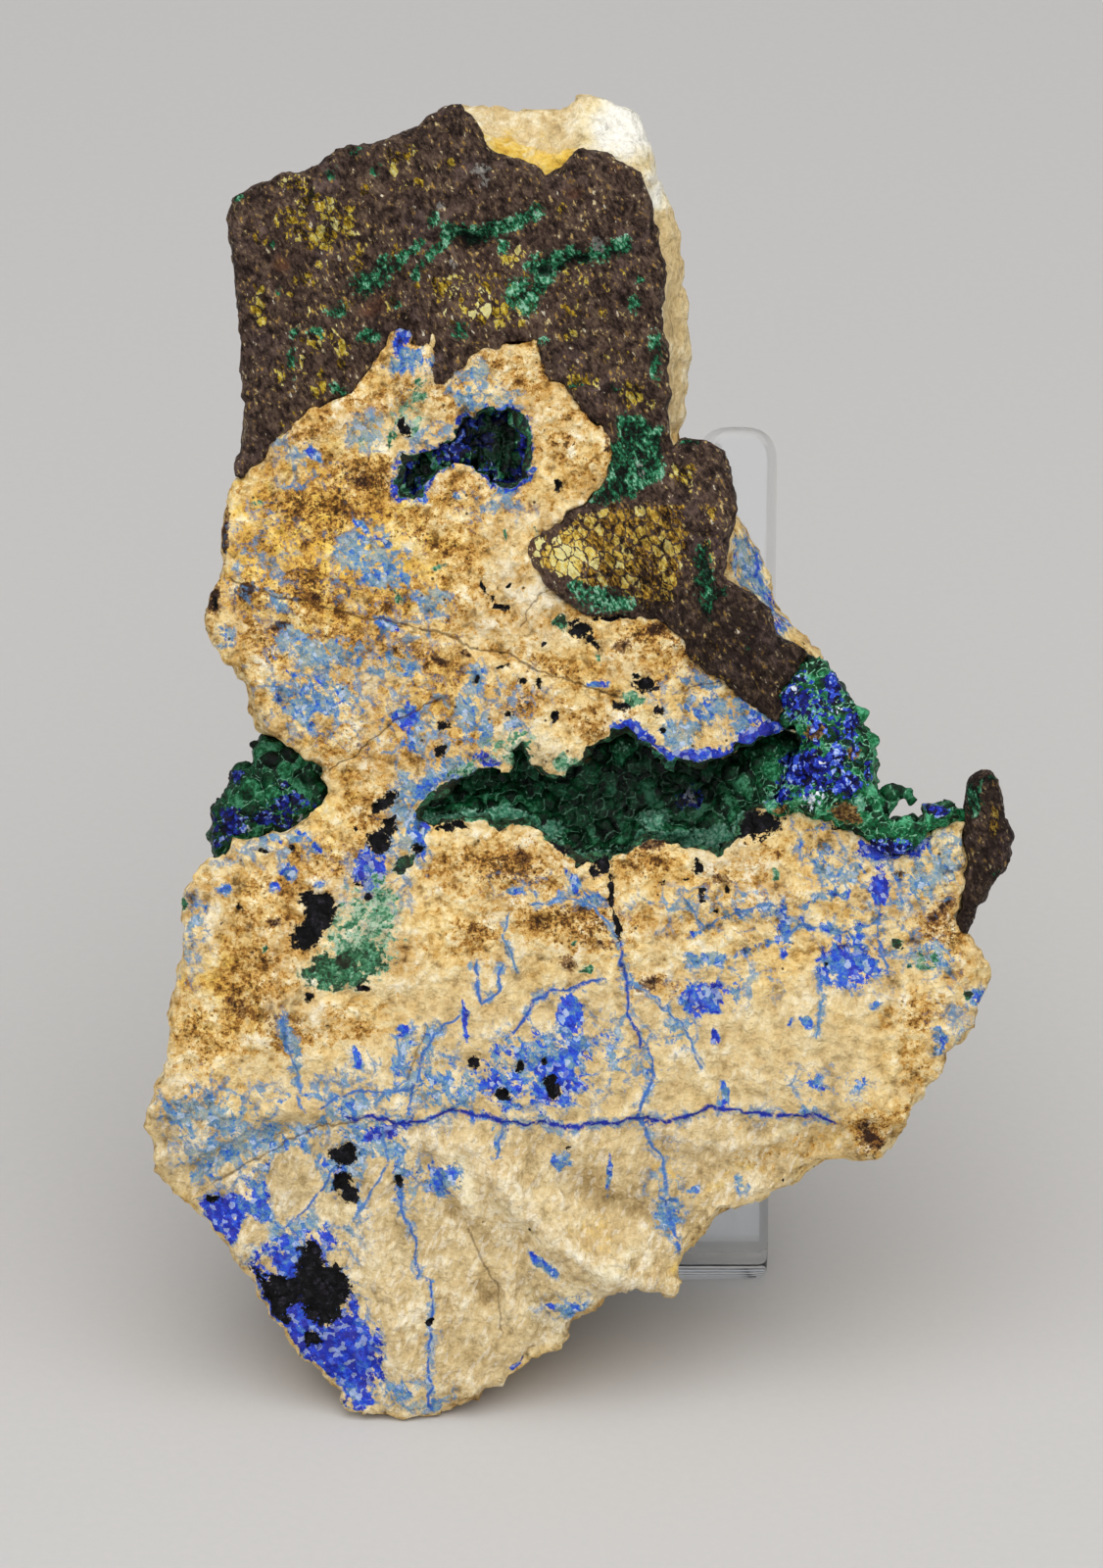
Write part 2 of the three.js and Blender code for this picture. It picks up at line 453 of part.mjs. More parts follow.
const SLAB_RINGS = [
  // level, closing, closing of the slanted sides, slant
  [OPEN_FRONT, 0, 0, 1],
  [-3.6, 0, 0, 1],
  [-10, 0.03, 0, 0],
  [-15, 0.09, 0.03, 0],
  [-24, 0.22, 0.1, 0],
]

// The two faces' edges are rounded by the distance to the outline.
const FACE_EDGE = SLAB_OUTLINE.map(([u, v]) => [u, v])

function slabFront(u, v) {
  const edge = 2.2 * rollOff(edgeDistance(FACE_EDGE, u, v), 4)
  const upperFace = 1.1 * THREE.MathUtils.smoothstep(v, 70, 86)
  const crackStep = -0.5 * THREE.MathUtils.smoothstep(36.8 - v, -0.4, 0.4)
  const lowerFall = -0.075 * Math.max(0, 34 - v)
  const ridge = 1.5 * Math.exp(-(((u + 2 + (v - 26) * 0.9) / 3.5) ** 2)) * THREE.MathUtils.smoothstep(36 - v, 0, 8)
  const hollowRight = -1.6 * swell(u, v, [27, 32], [9, 3.5])
  return 0.1 + upperFace + crackStep + lowerFall + ridge + hollowRight - edge
    + 0.55 * rough(u, v, COBBLE, 71) + 0.3 * rough(u, v, 3.4, 72)
}

function slabBack(u, v) {
  return SLAB_BACK + 0.9 * rough(u, v, 13, 81) + 0.5 * rough(u, v, COBBLE, 82)
    + 3 * rollOff(edgeDistance(FACE_EDGE, u, v), 8)
}

// The back's block is made as a front one and turned over.
function backBlock() {
  const flipped = FACE_EDGE.map(([u, v]) => [-u, v])
  const block = reliefBlock(flipped, 6, (u, v) => -slabBack(-u, v), FAR_BACK)
  return block.rotate([0, 180, 0])
}

const slabSides = loft(SLAB_RINGS.map((ring) => slabRing(...ring)))
const slab = [
  socket(CRUST_OUTLINE, CRUST_DEPTH),
  socket(HORN_OUTLINE, HORN_DEPTH),
  socket(RIGHT_CLUSTER_OUTLINE, CLUSTER_DEPTH),
  socket(LEFT_CLUSTER_OUTLINE, RECESS_DEPTH),
  socket(PIT_OUTLINE, PIT_DEPTH),
  prism(grown(VUG_CAVITY, JOINT_GAP), VUG_DEPTH - JOINT_GAP, VUG_CEILING),
  prism(VUG_MOUTH, VUG_DEPTH, OPEN_FRONT + 1),
].reduce(
  (rock, hole) => rock.subtract(hole),
  slabSides.intersect(reliefBlock(FACE_EDGE, 3.7, slabFront, FAR_BACK)).intersect(backBlock()))

// ---- the clear easel ----------------------------------------------------------------------------
// Side view of the bent sheet, drawn as (y, z): foot, bend and back rest.
function easelSection() {
  const inner = EASEL_BEND_RADIUS - EASEL_SHEET
  const along = new THREE.Vector2(Math.cos(EASEL_SLOPE), Math.sin(EASEL_SLOPE))
  const facing = new THREE.Vector2(-along.y, along.x)
  const centre = new THREE.Vector2(EASEL_BEND_Y, EASEL_BEND_RADIUS)
  const outerEnd = centre.clone().addScaledVector(facing, EASEL_BEND_RADIUS)
  const innerEnd = centre.clone().addScaledVector(facing, inner)
  const tipOuter = outerEnd.clone().addScaledVector(along, EASEL_REST_LENGTH)
  const tipInner = innerEnd.clone().addScaledVector(along, EASEL_REST_LENGTH)
  const heel = EASEL_BEND_Y + EASEL_FOOT_LENGTH
  const facingAngle = Math.atan2(facing.y, facing.x)
  const section = new THREE.Shape()
  section.moveTo(heel, 0)
  section.lineTo(heel, EASEL_SHEET)
  section.lineTo(EASEL_BEND_Y, EASEL_SHEET)
  section.absarc(centre.x, centre.y, inner, -Math.PI / 2, facingAngle - 2 * Math.PI, true)
  section.lineTo(tipInner.x, tipInner.y)
  section.lineTo(tipOuter.x, tipOuter.y)
  section.lineTo(outerEnd.x, outerEnd.y)
  section.absarc(centre.x, centre.y, EASEL_BEND_RADIUS, facingAngle, 1.5 * Math.PI, false)
  section.closePath()
  return section
}

// Front view of the sheet, drawn as (x, s) with s up the back rest: two arms over one base.
function easelFront() {
  const bottom = -EASEL_BEND_RADIUS
  const top = EASEL_REST_LENGTH
  const tipInner = EASEL_TIP_HALF - EASEL_ARM_WIDTH
  const rootInner = tipInner - 1.4
  const rootRound = 6
  const front = new THREE.Shape()
  front.moveTo(-EASEL_BASE_HALF + EASEL_BASE_ROUND, bottom)
  front.lineTo(EASEL_BASE_HALF - EASEL_BASE_ROUND, bottom)
  front.quadraticCurveTo(EASEL_BASE_HALF, bottom, EASEL_BASE_HALF, bottom + EASEL_BASE_ROUND)
  front.lineTo(EASEL_TIP_HALF, top - EASEL_ARM_ROUND)
  front.quadraticCurveTo(EASEL_TIP_HALF, top, EASEL_TIP_HALF - EASEL_ARM_ROUND, top)
  front.lineTo(tipInner + EASEL_ARM_ROUND, top)
  front.quadraticCurveTo(tipInner, top, tipInner, top - EASEL_ARM_ROUND)
  front.lineTo(rootInner, EASEL_ARM_ROOT + rootRound)
  front.quadraticCurveTo(rootInner, EASEL_ARM_ROOT, rootInner - rootRound, EASEL_ARM_ROOT)
  front.lineTo(-rootInner + rootRound, EASEL_ARM_ROOT)
  front.quadraticCurveTo(-rootInner, EASEL_ARM_ROOT, -rootInner, EASEL_ARM_ROOT + rootRound)
  front.lineTo(-tipInner, top - EASEL_ARM_ROUND)
  front.quadraticCurveTo(-tipInner, top, -tipInner - EASEL_ARM_ROUND, top)
  front.lineTo(-EASEL_TIP_HALF + EASEL_ARM_ROUND, top)
  front.quadraticCurveTo(-EASEL_TIP_HALF, top, -EASEL_TIP_HALF, top - EASEL_ARM_ROUND)
  front.lineTo(-EASEL_BASE_HALF, bottom + EASEL_BASE_ROUND)
  front.quadraticCurveTo(-EASEL_BASE_HALF, bottom, -EASEL_BASE_HALF + EASEL_BASE_ROUND, bottom)
  return front
}

function easelSolid() {
  const width = 2 * EASEL_TIP_HALF + 2
  const sheet = new THREE.ExtrudeGeometry(easelSection(), { depth: width, bevelEnabled: false, curveSegments: 10 })
  // section x becomes +Y, section y becomes +Z, and its depth lies along X
  sheet.applyMatrix4(new THREE.Matrix4().set(
    0, 0, 1, -width / 2,
    1, 0, 0, 0,
    0, 1, 0, 0,
    0, 0, 0, 1))
  const reach = 160
  const view = new THREE.ExtrudeGeometry(easelFront(), { depth: reach, bevelEnabled: false, curveSegments: 6 })
  view.translate(0, 0, -reach / 2)
  view.rotateX(EASEL_SLOPE)
  view.translate(0, EASEL_BEND_Y, EASEL_BEND_RADIUS)
  return solidFrom(sheet).intersect(solidFrom(view))
}

// ---- the assembled part -------------------------------------------------------------------------
function piece(name, solid, colour, roughness, extra = {}) {
  const material = new THREE.MeshStandardMaterial({ color: colour, roughness, metalness: 0, ...extra })
  const mesh = new THREE.Mesh(geometryFrom(solid), material)
  mesh.name = name
  return mesh
}

const specimen = new THREE.Group()
specimen.rotation.x = Math.PI / 2 - LEAN_BACK
specimen.position.z = -TIP_V * Math.cos(LEAN_BACK)
specimen.add(
  piece('host_rock_slab', slab, '#d9c193', 0.85),
  piece('goethite_crust', crust, '#3b2c26', 0.5),
  piece('goethite_horn', horn, '#3a2a22', 0.55),
  piece('malachite_vug_lining', lining, '#0f4a2e', 0.35),
  piece('malachite_pit_druse', pitDruse, '#12261f', 0.4),
  piece('azurite_malachite_cluster_left', leftCluster, '#14302f', 0.4),
  piece('azurite_malachite_cluster_right', rightCluster, '#1b4a5c', 0.4),
)

const group = new THREE.Group()
group.name = 'malachite_azurite_specimen'
group.add(specimen)
group.add(piece('clear_easel', easelSolid(), '#e6eaee', 0.08, { transparent: true, opacity: 0.3 }))
group.position.copy(TIP_FROM_ORIGIN)

export default group
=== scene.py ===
import itertools
import json
import math
from contextlib import contextmanager

import bpy
import numpy as np
from mathutils import Matrix, Vector
from mathutils.kdtree import KDTree

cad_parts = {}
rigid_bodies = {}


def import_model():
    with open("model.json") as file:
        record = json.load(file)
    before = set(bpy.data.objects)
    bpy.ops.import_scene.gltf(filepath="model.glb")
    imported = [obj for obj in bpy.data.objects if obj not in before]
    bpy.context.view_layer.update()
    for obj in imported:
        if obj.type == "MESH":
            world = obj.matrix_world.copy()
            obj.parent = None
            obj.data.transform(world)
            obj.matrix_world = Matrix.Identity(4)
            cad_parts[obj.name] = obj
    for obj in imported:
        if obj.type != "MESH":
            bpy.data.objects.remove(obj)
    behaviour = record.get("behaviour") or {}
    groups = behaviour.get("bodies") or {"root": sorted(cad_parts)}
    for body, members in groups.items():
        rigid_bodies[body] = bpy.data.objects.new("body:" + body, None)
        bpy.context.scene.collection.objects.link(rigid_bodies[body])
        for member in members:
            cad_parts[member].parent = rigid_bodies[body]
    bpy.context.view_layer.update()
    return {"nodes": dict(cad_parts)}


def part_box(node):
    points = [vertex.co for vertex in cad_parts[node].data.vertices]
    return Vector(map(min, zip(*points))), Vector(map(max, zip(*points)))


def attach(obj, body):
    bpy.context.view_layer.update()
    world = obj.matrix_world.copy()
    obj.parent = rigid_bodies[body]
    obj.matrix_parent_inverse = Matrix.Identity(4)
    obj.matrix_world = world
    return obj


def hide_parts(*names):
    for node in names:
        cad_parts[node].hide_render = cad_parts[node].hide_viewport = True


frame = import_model()

# ---- the stand of the camera, the table and the light -------------------------------------------
# The specimen leans back on its easel. Along its face u runs to the right and v up, and w comes out
# of it, all in millimetres. The camera looks straight at that face, from well away.
MM = 0.001
LEAN_BACK = math.radians(30)
FACE_RIGHT = np.array((1.0, 0.0, 0.0))
FACE_UP = np.array((0.0, math.sin(LEAN_BACK), math.cos(LEAN_BACK)))
FACE_OUT = np.array((0.0, -math.cos(LEAN_BACK), math.sin(LEAN_BACK)))
FACE_ZERO = np.array((-0.00335, -0.0502, -0.000693))
FACE_AXES = np.stack((FACE_RIGHT, FACE_UP, FACE_OUT))


def on_face(points):
    """Points in metres as (u, v, w) in millimetres along the slab's face."""
    return (points - FACE_ZERO) @ FACE_AXES.T / MM


def off_face(points):
    """(u, v, w) in millimetres as points in metres."""
    return np.asarray(points, float) * MM @ FACE_AXES + FACE_ZERO


def linear(code, alpha=1.0):
    """An sRGB hex colour as linear red, green, blue and alpha."""
    parts = [int(code[i:i + 2], 16) / 255 for i in (1, 3, 5)]
    return [p / 12.92 if p <= 0.04045 else ((p + 0.055) / 1.055) ** 2.4 for p in parts] + [alpha]


VIEW_CENTRE = (0.33, 73.9, 0.0)
VIEW_HEIGHT = 173.9 * MM
CAMERA_DISTANCE = 1.5
SENSOR_HEIGHT = 24.0

bpy.ops.object.camera_add()
camera = bpy.context.object
camera.name = "viewing_camera"
camera.data.sensor_fit = "VERTICAL"
camera.data.sensor_height = SENSOR_HEIGHT
camera.data.lens = SENSOR_HEIGHT * CAMERA_DISTANCE / VIEW_HEIGHT
placing = Matrix(FACE_AXES.T.tolist()).to_4x4()
placing.translation = Vector(off_face(VIEW_CENTRE) + CAMERA_DISTANCE * FACE_OUT)
camera.matrix_world = placing
bpy.context.scene.camera = camera
bpy.context.scene.view_settings.view_transform = "Standard"


def add(tree, kind, *inputs, stops=(), **settings):
    """Adds a shader node. Inputs fill its sockets in order, or by name as one dict. A "#" string is a
    colour, and any other string names a number stored on the piece. Stops are a colour ramp's."""
    made = tree.nodes.new("ShaderNode" + kind)
    for name, value in settings.items():
        setattr(made, name, value)
    named = inputs and isinstance(inputs[0], dict)
    for socket, value in inputs[0].items() if named else enumerate(inputs):
        if isinstance(value, str) and value.startswith("#"):
            value = linear(value)
        if isinstance(value, str):
            value = add(tree, "Attribute", attribute_name=value).outputs["Fac"]
        if isinstance(value, bpy.types.Node):
            value = value.outputs[0]
        if isinstance(value, bpy.types.NodeSocket):
            tree.links.new(value, made.inputs[socket])
        else:
            made.inputs[socket].default_value = value
    for index, (position, code) in enumerate(stops):
        elements = made.color_ramp.elements
        at_end = index in (0, len(stops) - 1)
        element = elements[-1 if index else 0] if at_end else elements.new(position)
        element.position = position
        element.color = linear(code)
    return made


def material(name):
    """A new material and its node tree, with only the output in it."""
    made = bpy.data.materials.new(name)
    made.use_nodes = True
    made.node_tree.nodes.clear()
    return made, made.node_tree


# Matt backdrop paper is pale and even, with a barely visible fibre.
paper, tree = material("matt_backdrop_paper")
place = add(tree, "TexCoord").outputs["Object"]
fibre = add(tree, "TexNoise", {"Vector": place, "Scale": 900.0, "Detail": 2.0})
tone = add(tree, "MixRGB", fibre, "#bfbdba", "#c4c1be")
finish = add(tree, "BsdfPrincipled", {"Base Color": tone, "Roughness": 0.9, "Specular IOR Level": 0.2})
add(tree, "OutputMaterial", finish)

TABLE_WIDTH = 5.0
TABLE_DROP = 0.1 * MM
bpy.ops.mesh.primitive_plane_add(size=TABLE_WIDTH, location=(0, 0, -TABLE_DROP))
table = bpy.context.object
table.name = "table"
table.data.materials.append(paper)

# Each lamp: name, place (u, v, w) in mm, width in metres, watts, colour. All of them face the specimen.
LIT_POINT = Vector((0, 0, 60 * MM))
LAMPS = (
    ("key_softbox", (110, 700, 520), 1.2, 6.6, "#fffdf9"),
    ("side_softbox", (-480, 420, 560), 1.2, 1.9, "#fbfbff"),
    ("low_fill", (50, -140, 1000), 0.8, 2.5, "#f8faff"),
)
for name, where, size, watts, colour in LAMPS:
    where = Vector(off_face(where))
    bpy.ops.object.light_add(type="AREA", location=where)
    lamp = bpy.context.object
    lamp.name = name
    lamp.data.size = size
    lamp.data.energy = watts
    lamp.data.color = linear(colour)[:3]
    lamp.rotation_euler = (LIT_POINT - where).to_track_quat("-Z", "Y").to_euler()

ROOM_COLOUR, ROOM_STRENGTH = "#e8ecf2", 0.55
room = bpy.data.worlds.new("studio_air")
bpy.context.scene.world = room
room.use_nodes = True
background = room.node_tree.nodes["Background"]
background.inputs["Color"].default_value = linear(ROOM_COLOUR)
background.inputs["Strength"].default_value = ROOM_STRENGTH

# ---- host rock slab -----------------------------------------------------------------------------
# A broken slab of fine-grained limonite-stained limestone, cream and crumbly, naturally fractured on
# every side. Azurite, malachite and black manganese oxide stain it and fill its cracks.

SAME_POINT = 0.001 * MM


def select_only(piece):
    """Leaves one piece selected and active."""
    bpy.ops.object.select_all(action="DESELECT")
    piece.select_set(True)
    bpy.context.view_layer.objects.active = piece


@contextmanager
def editing(piece):
    """Edit mode on one piece alone, for the operators inside it."""
    select_only(piece)
    bpy.ops.object.mode_set(mode="EDIT")
    yield
    bpy.ops.object.mode_set(mode="OBJECT")


def unselect(piece, kind):
    """Leaves nothing of a piece selected, ready to pick out some of one kind: VERT or FACE."""
    with editing(piece):
        bpy.ops.mesh.select_mode(type=kind)
        bpy.ops.mesh.select_all(action="DESELECT")


def copy_node(node, name):
    """A new piece that starts as a CAD node's shape, with its loose triangles merged."""
    piece = bpy.data.objects.new(name, frame["nodes"][node].data.copy())
    bpy.context.collection.objects.link(piece)
    piece.data.materials.clear()
    with editing(piece):
        bpy.ops.mesh.select_all(action="SELECT")
        bpy.ops.mesh.remove_doubles(threshold=SAME_POINT)
    return piece


def carve(piece, kind, **settings):
    """Adds a modifier and applies it."""
    modifier = piece.modifiers.new(kind.lower(), kind)
    for name, value in settings.items():
        setattr(modifier, name, value)
    select_only(piece)
    bpy.ops.object.modifier_apply(modifier=modifier.name)


def drop_crumbs(piece):
    """Deletes the crumbs that a remesh sheds where a wall is thin, and keeps the one large shell."""
    count = len(piece.data.vertices)
    tried, shell = np.zeros(count, bool), np.zeros(count, bool)
    while 2 * shell.sum() < count:
        unselect(piece, "VERT")
        piece.data.vertices[int(np.argmin(tried))].select = True
        with editing(piece):
            bpy.ops.mesh.select_linked()
        piece.data.vertices.foreach_get("select", shell)
        tried |= shell
    with editing(piece):
        bpy.ops.mesh.select_all(action="INVERT")
        bpy.ops.mesh.delete(type="VERT")


def vectors(items, name):
    """One vector of each vertex or face of a mesh, as rows."""
    values = np.empty(len(items) * 3)
    items.foreach_get(name, values)
    return values.reshape(-1, 3)


def vertices(piece):
    """The places and normals of a piece's vertices along the slab's face, in millimetres."""
    mesh = piece.data
    return on_face(vectors(mesh.vertices, "co")), vectors(mesh.vertex_normals, "vector") @ FACE_AXES.T


def faces(piece):
    """The middles and normals of a piece's faces along the slab's face, in millimetres."""
    mesh = piece.data
    return on_face(vectors(mesh.polygons, "center")), vectors(mesh.polygons, "normal") @ FACE_AXES.T


def move_to(piece, places):
    """Puts a piece's vertices at (u, v, w) places."""
    piece.data.vertices.foreach_set("co", off_face(places).ravel())
    piece.data.update()


def split_faces(piece, keep):
    """Cuts each face in four where keep(u v w of its middle, its normal) says so."""
    chosen = keep(*faces(piece))
    unselect(piece, "FACE")
    piece.data.polygons.foreach_set("select", chosen)
    with editing(piece):
        bpy.ops.mesh.subdivide(number_cuts=1)


def rough(points, size, seed, octaves=1):
    """Even roughness, about -1 to 1, with features size mm wide; each octave is half as wide and high."""
    total = np.zeros(len(points))
    for octave in range(octaves):
        at = points * 2**octave / size + seed * 7.31 + octave * 3.7
        cell = np.floor(at)
        part = at - cell
        ease = part**3 * (part * (part * 6 - 15) + 10)
        for corner in itertools.product((0, 1), repeat=3):
            key = (cell + corner) @ (127.1, 311.7, 74.7)
            way = np.sin(key[:, None] * (1.0, 1.37, 1.91) + seed) * 43758.5453
            way = (way - np.floor(way)) * 2 - 1
            weight = np.prod(np.where(corner, ease, 1 - ease), axis=1)
            total += 1.6 / 2**octave * weight * np.sum(way * (part - corner), axis=1)
    return total


def ledges(height, steepness=3.0):
    """Turns even roughness into flats and steps, as a fracture leaves them."""
    flat = np.floor(height)
    rise = np.clip((height - flat - 0.5) * steepness + 0.5, 0, 1)
    return flat + rise * rise * (3 - 2 * rise)


def stroke_distance(u, v, line):
    """Distance to a line of points, and the side of it that each point is on."""
    nearest = np.full(len(u), 1e3)
    side = np.ones(len(u))
    for (au, av), (bu, bv) in zip(line, line[1:]):
        length = (bu - au) ** 2 + (bv - av) ** 2
        run = np.clip(((u - au) * (bu - au) + (v - av) * (bv - av)) / length, 0, 1)
        away = np.hypot(u - au - run * (bu - au), v - av - run * (bv - av))
        closer = away < nearest
        turn = (bu - au) * (v - av) - (bv - av) * (u - au)
        side = np.where(closer, np.sign(turn), side)
        nearest = np.where(closer, away, nearest)
    return nearest, side


def inside(u, v, outline):
    """Signed distance to an outline, above 0 inside it."""
    away, _ = stroke_distance(u, v, list(outline) + [outline[0]])
    within = np.zeros(len(u), bool)
    for (au, av), (bu, bv) in zip(outline, list(outline[1:]) + [outline[0]]):
        crosses = (av > v) != (bv > v)
        if av != bv:
            within ^= crosses & (u < (bu - au) * (v - av) / (bv - av) + au)
    return np.where(within, away, -away)


def spot_cover(u, v, cu, cv, ru, rv=None, turn=0.0):
    """How well an oval spot covers each point: 1 in its middle, 0.5 at its edge, 0 well outside it."""
    rv = rv or ru
    cos, sin = math.cos(math.radians(turn)), math.sin(math.radians(turn))
    along = ((u - cu) * cos + (v - cv) * sin) / ru
    across = ((v - cv) * cos - (u - cu) * sin) / rv
    return np.clip(1.3 - 0.8 * np.hypot(along, across), 0, 1)


def spots(u, v, marks):
    """Cover by a list of spots, each (strength, u, v, half width, half height, turn)."""
    cover = np.zeros(len(u))
    for strength, *mark in marks:
        cover = np.maximum(cover, strength * spot_cover(u, v, *mark))
    return cover


def over(cover, tone, new, new_tone):
    """A cover and tone with a new one laid on top wherever the new one covers more."""
    return np.maximum(cover, new), np.where(new > cover, new_tone, tone)


def toned_spots(u, v, marks):
    """Cover and tone by spots that start with (strength, tone)."""
    cover, tone = np.zeros(len(u)), np.zeros(len(u))
    for strength, shade, *mark in marks:
        cover, tone = over(cover, tone, strength * spot_cover(u, v, *mark), shade)
    return cover, tone


def stroke_cover(u, v, half, line):
    """How well a line covers each point: 1 along its middle, 0.5 at its edge, 0 well outside it."""
    away, _ = stroke_distance(u, v, line)
    return np.clip(1.3 - 0.8 * away / half, 0, 1)


def cracks(u, v, marks):
    """For thin lines: distance across and away from the nearest, in half widths, and its tone."""
    across, away, tone = np.full(len(u), 99.0), np.full(len(u), 99.0), np.zeros(len(u))
    for half, shade, line in marks:
        distance, side = stroke_distance(u, v, line)
        closer = distance / half < away
        away = np.where(closer, distance / half, away)
        across = np.where(closer, side * distance / half, across)
        tone = np.where(closer, shade, tone)
    return across, away, tone


def keep_on(piece, name, values):
    """Stores one number for each vertex, for the material to read."""
    layer = piece.data.attributes.new(name, "FLOAT", "POINT")
    layer.data.foreach_set("value", np.asarray(values, np.float32))


# Outlines of the long hollow and of the two joined pits, as u and v on the face.
VUG_MOUTH = (
    (-14.2, 71), (-13.4, 70), (-10, 69.8), (-6, 70.1), (-2.5, 70), (-1.4, 69), (0.6, 67.2), (3.2, 65.8),
    (5.4, 65.3), (7.6, 65.8), (9.8, 66.9), (10.8, 68.1), (12.4, 68.4), (14.4, 67.8), (16.8, 66.9),
    (18.6, 66.9), (20.4, 68), (22.4, 69.9), (23.4, 70.9), (24.6, 72), (26.2, 72.9), (26.8, 74.2),
    (26.7, 75.8), (27.4, 77.4), (28.1, 78.8), (27.2, 79.8), (25.6, 79.4), (23.2, 78.9), (21.2, 77.6),
    (19, 76.6), (17, 76.1), (14.3, 76), (13, 75.8), (11.5, 77.4), (9.2, 79.5), (7.6, 79.6),
    (6.2, 79.2), (5.4, 78.2), (4.7, 76.8), (2.8, 76), (1.2, 74.5), (-1.4, 75.3), (-1.8, 77),
    (-2.6, 78.4), (-3.8, 78.2), (-4.2, 76.8), (-4.4, 75.3), (-6.6, 75.2), (-8.4, 74.9),
    (-10.8, 73.4), (-12.8, 72.6))
PIT_OUTLINE = (
    (-16.2, 106.3), (-15, 106.1), (-14, 107.2), (-12.8, 108.5), (-11.4, 109.6), (-9.6, 110.4),
    (-8.6, 110), (-7.2, 109.5), (-6, 108), (-4.5, 107.2), (-3.3, 107.7), (-2.9, 109.4),
    (-2.7, 111.4), (-2.6, 112.8), (-3.1, 114), (-4.2, 114.8), (-5.6, 115.2), (-7.2, 115),
    (-8.6, 114), (-9.8, 113), (-10.3, 111.9), (-11.7, 110.7), (-13.2, 110.1), (-14.9, 109.8),
    (-16.4, 109), (-16.7, 107.6))


def crinkled(places):
    """Broken edges wander: every outline shares this one small sideways wander, so that joints stay shut."""
    flat = places * (1, 1, 0.3)
    u, v = places[:, 0], places[:, 1]
    lip = np.minimum(*(np.abs(inside(u, v, hole)) for hole in (VUG_MOUTH, PIT_OUTLINE)))
    ragged = 0.4 + 0.45 * np.exp(-((lip / 2) ** 2))
    return places + np.stack([
        0.3 * rough(flat, 5.0, 61, 1) + ragged * rough(flat, 1.9, 63, 3),
        0.3 * rough(flat, 5.0, 65, 1) + ragged * rough(flat, 1.9, 67, 3),
        np.zeros(len(flat))], axis=1)


# The vein that crosses the face above its broken foot.
MAIN_VEIN = (
    (-22, 36.9), (-19.5, 36.8), (-17.5, 36.5), (-15, 36.3), (-12, 37), (-10.1, 37.7), (-8.5, 37.2),
    (-6.9, 37.4), (-5.9, 36.8), (-3.8, 36.3), (-1, 36.5), (0.8, 36.1), (2.6, 35.8), (5.4, 36.1),
    (7.8, 36.3), (10.3, 37), (13.1, 36.5), (16.2, 37.2), (17, 37.7), (20.1, 37.9), (21.9, 37.4),
    (25.4, 37.2), (30, 36.9), (31.5, 36.3))

# The crust's edge against the rock, from the left end of its cap down to the end of its wing.
CRUST_OUTLINE_FROM_ROCK = (
    (-34.9, 107.2), (-33.4, 109), (-32.2, 110.3), (-30.8, 112.2), (-28.6, 113), (-27.9, 114.2),
    (-25.2, 115.8), (-23.8, 117), (-21.2, 118.6), (-19.8, 120.4), (-18.4, 122.5), (-17.2, 124.6),
    (-15.4, 124.2), (-14.9, 122.4), (-13.4, 122.4), (-12.4, 125.2), (-11.7, 123.6), (-12.9, 121.6),
    (-13.4, 119.2), (-12, 117.9), (-11, 119.8), (-8.2, 121.8), (-4.4, 123), (-2.4, 123.2),
    (-1.3, 124.4), (-0.8, 122.6), (-1, 121.2), (0.4, 119.2), (2.4, 118.3), (4, 116.2), (4.4, 114.9),
    (6.2, 113.8), (7.2, 112), (7.1, 109.2), (6.4, 107), (4.7, 105.2), (2.3, 103.4), (0.2, 101.8),
    (-1.4, 100.9), (-2.4, 99.7), (-1.6, 98), (-0.4, 96.6), (0.9, 95.2), (2.6, 94.4), (4.3, 93), (7, 92.8),
    (9.8, 92.9), (12.2, 92.3), (14, 91), (15.1, 90.3), (16, 88.6), (16.8, 87.6), (18.4, 86.7),
    (19.7, 85.7), (20.6, 84.5), (22.2, 83.3), (23.6, 82), (25.2, 81))

